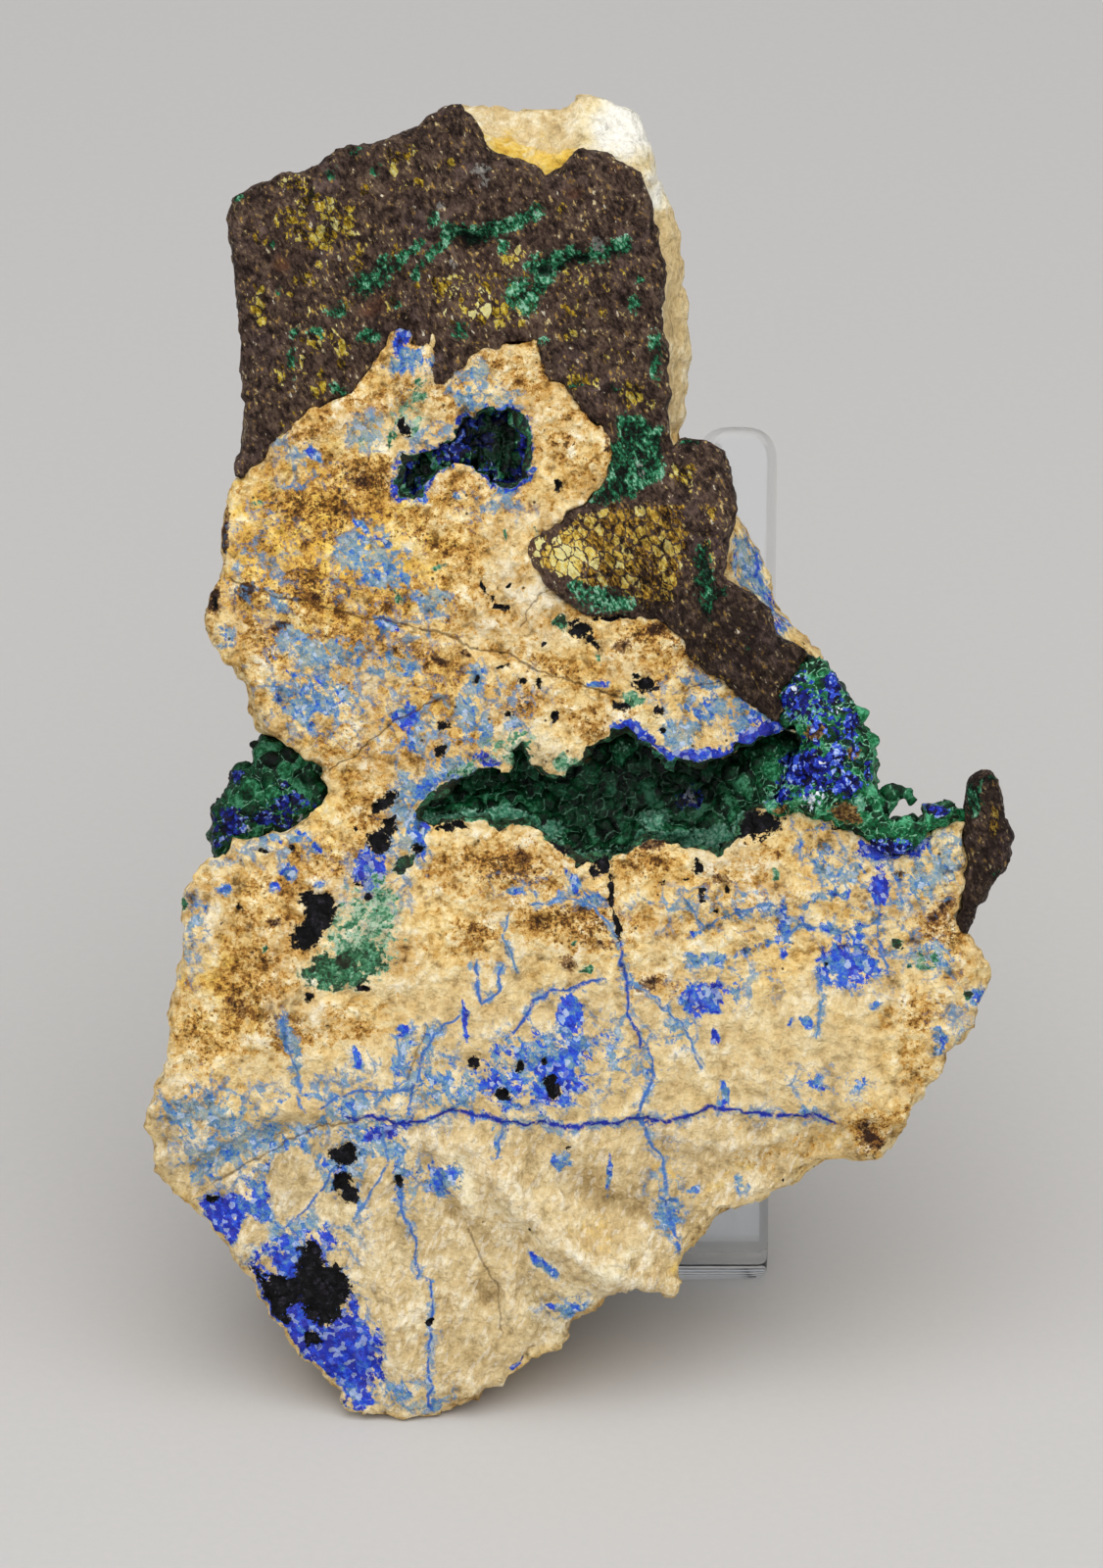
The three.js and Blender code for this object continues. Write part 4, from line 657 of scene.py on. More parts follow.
# Brown cracks: half width in mm, tone, points.
BROWN_CRACKS = (
    (0.13, 0.7, (
        (-35, 96.5), (-30, 94.5), (-25, 93.6), (-20, 92.2), (-15, 91.3), (-11, 90.2), (-7.5, 88.6),
        (-5, 88.8), (-2.5, 87.3), (1, 85.6), (3.5, 84.8), (8, 83.5))),
    (0.08, 0.7, ((-25, 75), (-21, 77.5), (-17, 81), (-12, 83.2))),
    (0.1, 0.6, ((-3, 91.5), (-1.5, 94), (0, 95.5))), (0.1, 0.5, ((-13.8, 46.5), (-15, 43), (-16, 41))),
    (0.12, 0.6, ((-22, 36.6), (-27, 35.6), (-31, 33), (-37, 29.6))),
    (0.1, 0.5, ((14, 84), (18, 85.2), (22, 84.2))), (0.1, 0.5, ((-9, 24), (-6, 18.5), (-5, 13))))

# Ridges and hollows of the broken lower face: height in mm, half width, points.
RIDGES = (
    (1.35, 1.9, ((-9, 34), (-4, 28), (1, 23), (6, 19.6), (11, 18))),
    (1.05, 1.3, ((-13, 35), (-11, 30.5), (-9, 26), (-7.6, 19))),
    (-1.20, 1.3, ((-10.6, 27), (-8.4, 23.4), (-6.6, 17))),
    (-1.05, 2.2, ((3, 30), (10, 26), (16, 25))),
    (0.75, 1.4, ((14, 34.6), (20, 33.6), (25, 34.6))),
    (-0.75, 1.2, ((-3, 18), (0, 13), (-2, 9.6))),
    (0.60, 1.2, ((-20, 26), (-18, 18), (-17, 10))),
    (-0.90, 0.9, ((-40, 30.6), (-33, 34.4), (-29, 36))),
    (0.75, 2.4, ((-34, 60), (-30, 54), (-31, 46))),
    (0.52, 1.8, ((22, 60), (30, 62), (37, 60))),
    (0.60, 1.6, ((-20, 88), (-26, 92), (-32, 95))),
    (-0.52, 1.6, ((-14, 92.6), (-8, 90.4), (0, 87.2))),
    (0.75, 1.8, ((-28, 112), (-18, 116), (-12, 121))))

# Knobs: height in mm, u, v, half width, half height.
KNOBS = (
    (0.8, -27, 37.7, 3, 1.3), (0.7, -28, 31, 2.6, 3), (0.8, -19, 31, 1.8, 2.2), (0.7, -10, 38.8, 2.2, 0.8),
    (0.6, -2, 77.4, 3, 1.6))

SLAB_VOXEL = 0.8 * MM
slab = copy_node("host_rock_slab", "host_rock_slab_weathered")
carve(slab, "REMESH", mode="VOXEL", voxel_size=SLAB_VOXEL)
drop_crumbs(slab)
carve(slab, "SMOOTH", factor=0.5, iterations=3)


def shown_face(places, normals):
    """The faces of the slab that look out at the viewer, as far down as the pits' walls."""
    return (normals[:, 2] > 0.25) & (places[:, 2] > -2.6)


split_faces(slab, shown_face)
at, facing = vertices(slab)
u, v, w = at.T
right_strip = (u > 19) & (v > 84)
front = np.clip((facing[:, 2] - 0.1) / 0.4, 0, 1) * np.clip((w + np.where(right_strip, 20, 7)) / 3, 0, 1)
side = 1 - np.clip((np.abs(facing[:, 2]) - 0.3) / 0.4, 0, 1)

black = spots(u, v, BLACK_SPOTS)
for patch in BLACK_PATCHES:
    black = np.maximum(black, np.clip(0.6 + inside(u, v, patch) / 1.8, 0, 1))
black = black * front
below_vein = np.clip((np.interp(u, *zip(*MAIN_VEIN)) - v) / 0.9 + 0.4, 0, 1) * front
crack_across, crack_away, crack_tone = cracks(u, v, BROWN_CRACKS)

# Relief in mm: a grainy face, stepped broken sides, ridges and knobs, and sunken veins, spots and cracks.
ridge_light_and_shade = np.zeros(len(at))
height = np.where(front > 0.5, 0.27, 0.4) * rough(at, 3.4, 2, 4)
broken_side = 0.75 * ledges(1.6 * rough(at, 8, 3, 3)) / 1.6 + 0.3 * rough(at, 2, 4, 2)
height += np.where((u > 10) & (v > 84), 0.3, 1) * side * broken_side
height += 0.35 * (1 - front) * rough(at, 6, 5, 2)
for rise, half, line in RIDGES:
    away, _ = stroke_distance(u, v, line)
    height += 1.25 * front * rise * np.exp(-((away / half) ** 2))
    # Ridge crests get painted light and troughs painted shade, kept for the material.
    ridge_light_and_shade += np.clip(rise, -0.7, 0.7) * np.exp(-((away / (0.7 * half)) ** 2))
for rise, *knob in KNOBS:
    height += front * rise * spot_cover(u, v, *knob)
height += front * below_vein * 0.3 * (ledges(2.2 * rough(at * (1, 0.6, 1), 6, 9, 2)) / 2.2)
height -= 0.45 * below_vein
height -= 0.5 * np.clip(black * 2 - 0.9, 0, 1)
height -= 0.25 * front * np.clip(1.5 - crack_away / 2, 0, 1)
growth_edge = np.minimum(stroke_distance(u, v, CRUST_OUTLINE_FROM_ROCK)[0], 9)
height += 0.3 * front * np.exp(-((growth_edge / 0.8) ** 2))
# The lowest broken corner stands on the table, so nothing reaches below it.
settled = off_face(crinkled(at + facing * height[:, None]))
settled[:, 2] = np.maximum(settled[:, 2], 0)
slab.data.vertices.foreach_set("co", settled.ravel())
slab.data.update()

# What the material reads. Veins and cracks stop at the slab's edge, where they are put out of reach.
OUT_OF_REACH = 20
azure, azure_tone = toned_spots(u, v, AZURITE_STAINS)
broken = np.clip(0.86 + 0.5 * rough(at, 2.2, 73, 2), 0, 1.1)
for strength, tone, half, line in AZURITE_STROKES:
    azure, azure_tone = over(azure, azure_tone, strength * stroke_cover(u, v, half, line) * broken, tone)
pit_rim = np.clip(1.3 - np.abs(inside(u, v, PIT_OUTLINE)) / 1.2, 0, 1)
pit_rim *= np.clip(0.62 + 0.7 * rough(at, 2.6, 71, 2), 0, 0.95)
azure, azure_tone = over(azure, azure_tone, pit_rim, 0.95)
green, green_tone = toned_spots(u, v, MALACHITE_STAINS)
deep = np.zeros(len(at))
# The walls of the pits and the hollow are painted near-black malachite green: partly malachite, partly
# painted shade under their lips.
for hole in (PIT_OUTLINE, VUG_MOUTH):
    wall = np.clip(1.6 - np.abs(inside(u, v, hole)) / 1.7, 0, 1)
    wall *= np.clip((0.88 - facing[:, 2]) / 0.25, 0, 1) * ((facing[:, 2] > -0.3) & (w > -9))
    green_tone = np.where(wall > green, 0.8 + 0.3 * rough(at, 1.6, 83, 2), green_tone)
    deep = np.maximum(deep, wall)
    green = np.maximum(green, 1.3 * wall)
vein_across, vein_away, vein_tone = cracks(u, v, BLUE_VEINS)
haze = np.where(v > 62, 0.58, 0.66) * spots(u, v, BLUE_HAZES)
fringe = np.clip(0.5 + 0.5 * rough(at, 5, 75, 2), 0, 0.85) * np.exp(-growth_edge / 1.8)
side_ochre = np.where(u > 10, 0.05, 0.16) + np.where(w < -9, 0.3, 0.1) * np.clip(rough(at, 16, 17, 3), 0, 1)
azure = np.maximum(azure, np.maximum(haze, 0.42 * np.exp(-vein_away / 3.4)))
azure = azure - 0.9 * spots(u, v, CREAM_ISLANDS)
ochre = np.maximum(np.maximum(spots(u, v, OCHRE_MOTTLES), fringe) * front, side_ochre * (1 - front))
smooth_top = np.maximum(v - 139, np.minimum(u - 10, v - 112)) / 2
smooth_foot = front * 0.8 * np.clip((57 - v + 5 * rough(at, 6, 81, 2)) / 8, 0, 1)
smooth_foot *= 1 - np.clip(1.7 * spots(u, v, OCHRE_MOTTLES), 0, 1)
for name, values in {
    "azurite": azure * front,
    "azurite_tone": azure_tone,
    "malachite": np.maximum(green * front, green * (deep > 0.8)),
    "malachite_tone": green_tone,
    "black": black,
    "ochre": ochre,
    "rust": spots(u, v, RUST_SPOTS) * np.clip(front + 0.4, 0, 1),
    "pale": spots(u, v, PALE_AREAS_AND_HIGHLIGHTS) * np.clip(front + np.where(v > 138, 1, 0.5), 0, 1),
    "golden": spots(u, v, GOLDEN_AREAS) * np.clip(front + 0.3, 0, 1),
    "flaky": below_vein,
    "ridge_light_and_shade": ridge_light_and_shade * front,
    "calm": np.maximum(np.clip(smooth_top, 0, 1), smooth_foot),
    "vein_across": vein_across,
    "vein_away": vein_away + OUT_OF_REACH * (1 - front),
    "vein_tone": vein_tone,
    "crack_across": crack_across,
    "crack_away": crack_away + OUT_OF_REACH * (1 - front),
    "crack_tone": crack_tone,
}.items():
    keep_on(slab, name, values)


def face_place(tree, offset=(0, 0, 0), stretch=(1, 1, 1), turn=0.0):
    """Object coordinates turned to lie along the slab's face, in mm, and then moved, stretched and turned."""
    zero = Vector(-(FACE_AXES @ FACE_ZERO) / MM)
    flat = add(tree, "Mapping", {
        "Vector": add(tree, "TexCoord").outputs["Object"], "Location": zero,
        "Rotation": (-(math.pi / 2 - LEAN_BACK), 0, 0), "Scale": (1 / MM, 1 / MM, 1 / MM)})
    spin = (0, 0, math.radians(turn))
    return add(tree, "Mapping", {"Vector": flat, "Location": offset, "Rotation": spin, "Scale": stretch},
               vector_type="TEXTURE")


def pushed(tree, place, guide, size, reach, detail=3.0, roughness=0.6):
    """A place pushed about, up to reach mm, by noise on a guide place with features size mm wide."""
    push = add(tree, "TexNoise", {
        "Vector": guide, "Scale": 1 / size, "Detail": detail, "Roughness": roughness})
    return add(tree, "VectorMath", push.outputs["Color"], (reach,) * 3, place, operation="MULTIPLY_ADD")


def chips(tree, place, size):
    """Three random numbers for each of many angular chips about size mm wide."""
    bent = pushed(tree, place, place, size / 1.2, 0.8 * size, 2.0, 0.5)
    chip = add(tree, "TexVoronoi", {"Vector": bent, "Scale": 1 / size})
    return add(tree, "SeparateColor", chip.outputs["Color"]).outputs


def mixture(tree, level, *parts):
    """A level, plus each pattern's swing about one half times its weight."""
    total = level - sum(weight for _, weight in parts) / 2
    for pattern, weight in parts:
        total = add(tree, "Math", pattern, weight, total, operation="MULTIPLY_ADD")
    return total


def lay(tree, under, over, cover, low, high, most=1.0):
    """Lays one colour over another where its cover rises from low to high."""
    mask = add(tree, "MapRange", cover, low, high, 0.0, most, interpolation_type="SMOOTHSTEP")
    return add(tree, "MixRGB", mask, under, over)


def fit(tree, cover, swing):
    """A stain's cover with a swing added that fades out where there is no stain."""
    reach = add(tree, "Math", cover, 3.0, operation="MULTIPLY", use_clamp=True)
    return add(tree, "Math", swing, reach, cover, operation="MULTIPLY_ADD")


def mineral_skin(tree, colour, dull, height, gloss=0.14):
    """The shader of a rough mineral: its colour, its dull and its bright grains, and its relief in mm."""
    bump = add(tree, "Bump", {"Height": height, "Strength": 1.0, "Distance": MM})
    finish = add(tree, "BsdfPrincipled", {
        "Base Color": colour, "Roughness": dull, "Normal": bump, "Specular IOR Level": gloss})
    add(tree, "OutputMaterial", finish)


# Limestone is matt and slightly waxy, crumbly in grains of about 1 mm with brown limonite in the hollows
# between them. Azurite and malachite lie on it as powdery to glassy stains, manganese oxide as dull black.
rock, tree = material("limonite_stained_limestone")
place = face_place(tree)
aside = face_place(tree, (41, 17, 9))
# Each noise: where it lies, width of its features in mm, detail, roughness, bend.
lumps, grain, grit, blotch, fleck, speck, broad, fibre = (
    add(tree, "TexNoise", {
        "Vector": where, "Scale": 1 / size, "Detail": detail, "Roughness": roughness, "Distortion": bend})
    for where, size, detail, roughness, bend in (
        (place, 3.0, 3, 0.5, 0),
        (place, 0.95, 4, 0.7, 0.4),
        (place, 0.32, 2, 0.6, 0),
        (aside, 2.8, 5, 0.65, 0.3),
        (aside, 1.0, 5, 0.72, 0.6),
        (aside, 0.4, 3, 0.8, 0),
        (aside, 8.0, 3, 0.6, 0),
        (face_place(tree, (3, 5, 7), (1.0, 2.4, 1.0), -14), 0.7, 5, 0.7, 0)))
chip, _, third_chip = chips(tree, place, 0.8)
sliver, other_sliver, third_sliver = chips(tree, aside, 0.6)
crumb = add(tree, "TexVoronoi", {"Vector": pushed(tree, place, place, 1.3, 1.5), "Scale": 0.8})

# Clean stone first: cream, paler and waxier where the face is smooth, golden or pale in broad areas.
stone = mixture(tree, 0.54, (lumps, 0.8), (grain, 0.9), (chip, 0.16))
cream = add(tree, "ValToRGB", stone, stops=(
    (0.14, "#a37b42"), (0.32, "#d3ac69"), (0.46, "#eaca8c"), (0.62, "#f7dfa6"), (0.82, "#fff5d6")))
# Ridge crests lighten the beige and the waxy stone, and troughs darken them: painted light and shade.
beige = mixture(tree, 0.54, (lumps, 0.6), (fibre, 1.1), (chip, 0.14), ("ridge_light_and_shade", 0.3))
beige = add(tree, "ValToRGB", beige, stops=(
    (0.14, "#93764d"), (0.32, "#c8ad7a"), (0.46, "#dac08e"), (0.62, "#e9d4a8"), (0.84, "#fdf4da")))
colour = add(tree, "MixRGB", add(tree, "Math", "flaky", 0.85, operation="MULTIPLY"), cream, beige)
waxy = mixture(tree, 0.5, (lumps, 0.5), (fibre, 0.7), ("ridge_light_and_shade", 0.2))
waxy = add(tree, "ValToRGB", waxy, stops=(
    (0.2, "#bba270"), (0.4, "#dfc694"), (0.56, "#eedab0"), (0.8, "#fcf3dc")))
colour = add(tree, "MixRGB", add(tree, "Math", "calm", 0.8, operation="MULTIPLY"), colour, waxy)
gold_stone = add(tree, "ValToRGB", stone, stops=((0.2, "#d09a32"), (0.5, "#f5c94c"), (0.8, "#ffe27e")))
colour = lay(tree, colour, gold_stone, fit(tree, "golden", mixture(tree, 0, (blotch, 1.6))), 0.34, 0.84, 0.92)
pale_stone = add(tree, "ValToRGB", stone, stops=((0.2, "#e6cf96"), (0.45, "#f8e9bc"), (0.75, "#fff6dc")))
# Pale areas include painted highlights on the crests of the lower ridges.
pale = fit(tree, "pale", mixture(tree, 0, (blotch, 0.8), (grain, 0.4)))
colour = lay(tree, colour, pale_stone, pale, 0.2, 0.7, 0.95)
tint = add(tree, "ValToRGB", broad, stops=((0.36, "#e9dccb"), (0.5, "#ffffff"), (0.62, "#fff6e0")))
tint_cover = add(tree, "MapRange", "calm", 0.0, 1.0, 1.0, 0.2)
colour = add(tree, "MixRGB", tint_cover, colour, tint, blend_type="MULTIPLY")
smooth_pale = fit(tree, "pale", mixture(tree, 0, (lumps, 0.6)))
smooth_pale = add(tree, "Math", "calm", smooth_pale, operation="MULTIPLY")
colour = lay(tree, colour, "#fffdf4", smooth_pale, 0.55, 1.0, 0.85)
faded = mixture(tree, 0, (broad, -1.6), (lumps, 1.2), (fibre, 1.6))
colour = lay(tree, colour, pale_stone, faded, 0.08, 0.5, 0.6)
# Painted highlight: a near-white sheen along the ridge crests.
ridge_highlight = add(tree, "Math", "ridge_light_and_shade", mixture(tree, -0.1, (fibre, 1.8), (grain, 1.2)))
colour = lay(tree, colour, "#fff7e0", ridge_highlight, 0.3, 1.0, 0.4)
# Painted glints: small elongated white flecks on the flaky lower face stand in for highlights on its grains.
flake = chips(tree, face_place(tree, (17, 3, 7), (0.6, 1.7, 1.0), -28), 0.6)[0]
flake = add(tree, "Math", "flaky", flake, operation="MULTIPLY")
colour = lay(tree, colour, "#fff6e2", flake, 0.84, 0.9, 0.36)

# Limonite stains, from pale ochre through brown to near black as they thicken.
limonite = mixture(
    tree, 0, (lumps, -0.5), (fleck, 1.5), (speck, 1.3), (blotch, 1.2), (sliver, 0.3), (chip, -0.25))
limonite = add(tree, "Math", "ochre", limonite)
limonite = add(tree, "Math", "calm", -0.4, limonite, operation="MULTIPLY_ADD")
limonite = add(tree, "Math", "pale", -0.22, limonite, operation="MULTIPLY_ADD")
colour = lay(tree, colour, "#d9a855", limonite, 0.32, 0.42, 0.74)
colour = lay(tree, colour, "#ab762e", limonite, 0.55, 0.62, 0.84)
colour = lay(tree, colour, "#5f3b18", limonite, 0.77, 0.83, 0.9)
colour = lay(tree, colour, "#331f10", limonite, 0.98, 1.06, 0.9)
single_grains = fit(tree, "ochre", mixture(tree, 0, (speck, 1.7), (grit, 1.2), (blotch, 0.6)))
colour = lay(tree, colour, "#4f361a", single_grains, 0.7, 0.78, 0.85)
rust = fit(tree, "rust", mixture(tree, 0, (grain, 1.4), (speck, 1.2), (blotch, 0.9), (chip, 0.3)))
colour = lay(tree, colour, "#7a5027", rust, 0.46, 0.56, 0.85)
colour = lay(tree, colour, "#2f1c14", rust, 0.7, 0.8, 0.94)

# Azurite fills a net of hair cracks and the swirls between them, from a pale haze to deep blue.
net = pushed(tree, place, aside, 1.6, 2.6)
net = add(tree, "TexVoronoi", {"Vector": net, "Scale": 0.34}, feature="DISTANCE_TO_EDGE").outputs["Distance"]
swirl = face_place(tree, (13, 29, 5))
swirl = add(tree, "TexNoise", {
    "Vector": swirl, "Scale": 1 / 5.5, "Detail": 5, "Roughness": 0.6, "Distortion": 0.4})
swirl = add(tree, "Math", mixture(tree, 0, (swirl, 7.0)), operation="ABSOLUTE")
net = add(tree, "Math", net, swirl, operation="MINIMUM")
band = add(tree, "MapRange", net, 0.55, 0.0)
shard, shard_tone = chips(tree, face_place(tree, (23, 31, 3), (0.8, 1.9, 1.0), 32), 0.8)[:2]
azure = mixture(tree, 0, (fleck, 1.4), (speck, 0.8), (shard, 0.55), (sliver, 0.25), (band, 0.45))
azure = fit(tree, "azurite", azure)
depth = mixture(
    tree, 0.06, (blotch, 0.5), (shard_tone, 0.4), (other_sliver, 0.25), (speck, 1.1), (fleck, 0.7))
depth = add(tree, "Math", "azurite_tone", 0.86, depth, operation="MULTIPLY_ADD")
blue = add(tree, "ValToRGB", depth, stops=(
    (0.0, "#b6bbae"), (0.16, "#98abae"), (0.32, "#779db8"), (0.48, "#4f87c0"), (0.64, "#2b60d2"),
    (0.82, "#1a41da"), (1.0, "#0e20aa")))
colour = lay(tree, colour, "#b0b6ac", azure, 0.34, 0.46, 0.5)
net_line = add(tree, "MapRange", azure, 0.16, 0.36, 0.0, 0.8)
net_line = add(tree, "Math", add(tree, "MapRange", net, 0.12, 0.03), net_line, operation="MULTIPLY")
colour = add(tree, "MixRGB", net_line, colour, "#5f8bb8")
colour = lay(tree, colour, blue, azure, 0.44, 0.52, 0.94)
veil = add(tree, "MapRange", "azurite_tone", 0.6, 1.0, 0.85, 0.5)
veil = add(tree, "Math", add(tree, "MapRange", third_sliver, 0.78, 0.84), veil, operation="MULTIPLY")
veil = add(tree, "Math", veil, add(tree, "MapRange", azure, 0.5, 0.7), operation="MULTIPLY")
colour = add(tree, "MixRGB", veil, colour, "#c2d2ea")

# Malachite films are pale green where they are thin and nearly black where they are thick.
malachite = fit(tree, "malachite", mixture(tree, 0, (fleck, 1.4), (blotch, 0.6), (sliver, 0.4)))
green_depth = mixture(tree, 0, (grit, 0.9), (speck, 1.2), (fleck, 0.8), (other_sliver, 0.5))
green_depth = add(tree, "Math", "malachite_tone", green_depth)
green = add(tree, "ValToRGB", green_depth, stops=(
    (0.0, "#b4cdb0"), (0.26, "#5c9c78"), (0.5, "#1f7049"), (0.74, "#0a3c27"), (0.96, "#020e08")))
colour = lay(tree, colour, "#a9bda5", malachite, 0.3, 0.52, 0.6)
colour = lay(tree, colour, green, malachite, 0.47, 0.56, 0.95)

# Veins of azurite and brown cracks are thin lines that wander a little. The veins break here and there.
wander = add(tree, "TexNoise", {"Vector": place, "Scale": 1 / 0.9, "Detail": 3, "Roughness": 0.6})
wander = mixture(tree, 0, (wander, 3.4))


def thin_line(across, away, reach):
    """Distance from a thin wandering line, in half widths, kept within reach of the points it follows."""
    line = add(tree, "Math", add(tree, "Math", across, wander), operation="ABSOLUTE")
    return add(tree, "Math", line, add(tree, "Math", away, reach, operation="SUBTRACT"), operation="MAXIMUM")


vein_colour = add(tree, "ValToRGB", "vein_tone", stops=((0.2, "#6c96bc"), (0.6, "#3a66bc"), (1.0, "#2434a4")))
unbroken = add(tree, "MapRange", mixture(tree, 0.66, (fleck, 1.8)), 0.42, 0.58)
vein = add(tree, "MapRange", thin_line("vein_across", "vein_away", 2.0), 1.5, 0.5)
colour = add(tree, "MixRGB", add(tree, "Math", vein, unbroken, operation="MULTIPLY"), colour, vein_colour)
crack = add(tree, "MapRange", thin_line("crack_across", "crack_away", 2.5), 1.6, 0.5)
colour = add(tree, "MixRGB", add(tree, "Math", crack, "crack_tone", operation="MULTIPLY"), colour, "#513619")

# Manganese oxide is sooty black in patches, and peppers the clean stone with single grains.
manganese = fit(tree, "black", mixture(tree, 0, (fleck, 1.7), (speck, 0.8), (blotch, 0.3), (sliver, 0.2)))
soot = mixture(tree, 0.4, (grit, 0.6), (sliver, 0.5))
soot = add(tree, "ValToRGB", soot, stops=((0.3, "#060608"), (0.6, "#18161a"), (0.85, "#454150")))
colour = lay(tree, colour, soot, manganese, 0.5, 0.57)
pepper = add(tree, "TexVoronoi", {"Vector": aside, "Scale": 0.8})
pepper_grain = add(tree, "SeparateColor", pepper.outputs["Color"])
pepper_grain = add(tree, "Math", pepper_grain, "calm", operation="SUBTRACT")
pepper = add(tree, "MapRange", pepper.outputs["Distance"], 0.17, 0.11, 0.0, 0.9)
pepper = add(tree, "Math", pepper, add(tree, "MapRange", pepper_grain, 0.86, 0.88), operation="MULTIPLY")
colour = add(tree, "MixRGB", pepper, colour, "#47341f")

# Painted shade: the hollows between the grains are darkened, less so where the face is smooth.
painted_hollow_shade = mixture(tree, 0.53, (lumps, 0.6), (grain, 0.9), (crumb, -0.3))
painted_hollow_shade = add(tree, "ValToRGB", painted_hollow_shade, stops=((0.22, "#5c5046"), (0.45, "#f2eee6"), (0.7, "#ffffff")))
painted_hollow_shade_cover = add(tree, "MapRange", "calm", 0.0, 1.0, 0.88, 0.34)
colour = add(tree, "MixRGB", painted_hollow_shade_cover, colour, painted_hollow_shade, blend_type="MULTIPLY")
dull = add(tree, "MapRange", third_chip, 0.9, 0.96, 0.68, 0.3)
relief = mixture(tree, 0, (lumps, 1.6), (grain, 0.45), (crumb, -0.42), (chip, 0.14), (grit, 0.05))
mineral_skin(tree, colour, dull, relief)
slab.data.materials.append(rock)
slab.data.shade_smooth()
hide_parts("host_rock_slab")
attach(slab, "root")

# ---- goethite crust and horn --------------------------------------------------------------------
# Iron oxide, goethite, grew over the top of the face as a thin hard crust. It is dark brown, crinkled
# and half-metallic, with gold flecks where it has split into bright little flakes, and green films of
# malachite in its hollows. The horn at the right is a loose end of the same crust.
# Gold flecks: strength, u, v, half width, half height, turn. The patch is the solid gold on the wing.
GOLD_FLECKS = (
    (0.9, -28.5, 140.5, 1.4, 0.8), (0.9, -26.5, 139, 1.2, 1), (1, -24.5, 137.3, 1.6, 1.2),
    (0.9, -22.3, 136.8, 1), (0.9, -23, 135.5, 1.4), (0.95, -28.5, 136, 1.6), (0.6, -33, 135, 0.9),
    (0.6, -32, 134, 0.8), (1.05, -25, 134.5, 1.8, 1.5), (0.8, -21.5, 131.5, 1), (0.7, -27, 130, 1),
    (0.9, -32.3, 127.5, 0.9, 2), (0.6, -29, 128, 1), (0.6, -31.8, 125.3, 1), (0.9, -15.5, 144.5, 0.9),
    (0.9, -17, 143, 1, 1.3), (0.7, -11, 142.7, 0.7), (0.9, -20.5, 139.8, 0.7), (0.8, -15.8, 139.8, 0.5),
    (0.8, -14.4, 140.2, 0.8), (0.6, -25.5, 118.7, 1, 1.8), (0.7, -23, 121.7, 1, 1.8),
    (0.6, -29, 119.5, 1.2), (0.5, -26, 123, 3, 5), (0.9, -12, 129, 1.5, 1.3), (0.5, -6.2, 128, 5, 3.6),
    (0.7, -5, 126, 3, 1.4), (0.85, -4, 132.3, 1.1), (0.7, 1.7, 137.5, 0.6), (0.65, 2.8, 126.8, 1),
    (0.6, 2.5, 124, 1), (0.6, 7.6, 121.6, 1.4, 1), (0.7, 9.5, 117, 1.6, 1.4), (0.6, 11.5, 116, 1),
    (0.5, 4, 119, 2, 1.6), (0.28, -20, 130, 13, 9), (0.28, -29, 118, 4, 8), (0.26, 5, 128, 7, 10),
    (0.34, -10, 128, 5, 5), (1.1, 1.6, 99.3, 2.6, 2), (0.95, 15, 108, 1.3, 1.6), (0.9, 14, 103, 1.4, 1.2),
    (0.8, 17.6, 104.4, 0.6, 1.4), (0.45, 18, 88.6, 2, 1.2), (0.45, 21, 86, 2, 1), (0.4, 17, 100, 2, 6),
    (0.45, 16.6, 91, 1.4, 2), (0.5, 48.8, 64.8, 0.8), (0.4, 49.3, 70, 0.8, 3))
GOLD_PATCH = (
    (-1.7, 99.2), (0.6, 101.5), (3.6, 103.4), (7, 104.6), (12, 105), (15, 104.4), (15.6, 101), (14.8, 97),
    (13.6, 93.4), (10, 93.6), (7.4, 95.2), (4.4, 95.8), (1.2, 96.4))

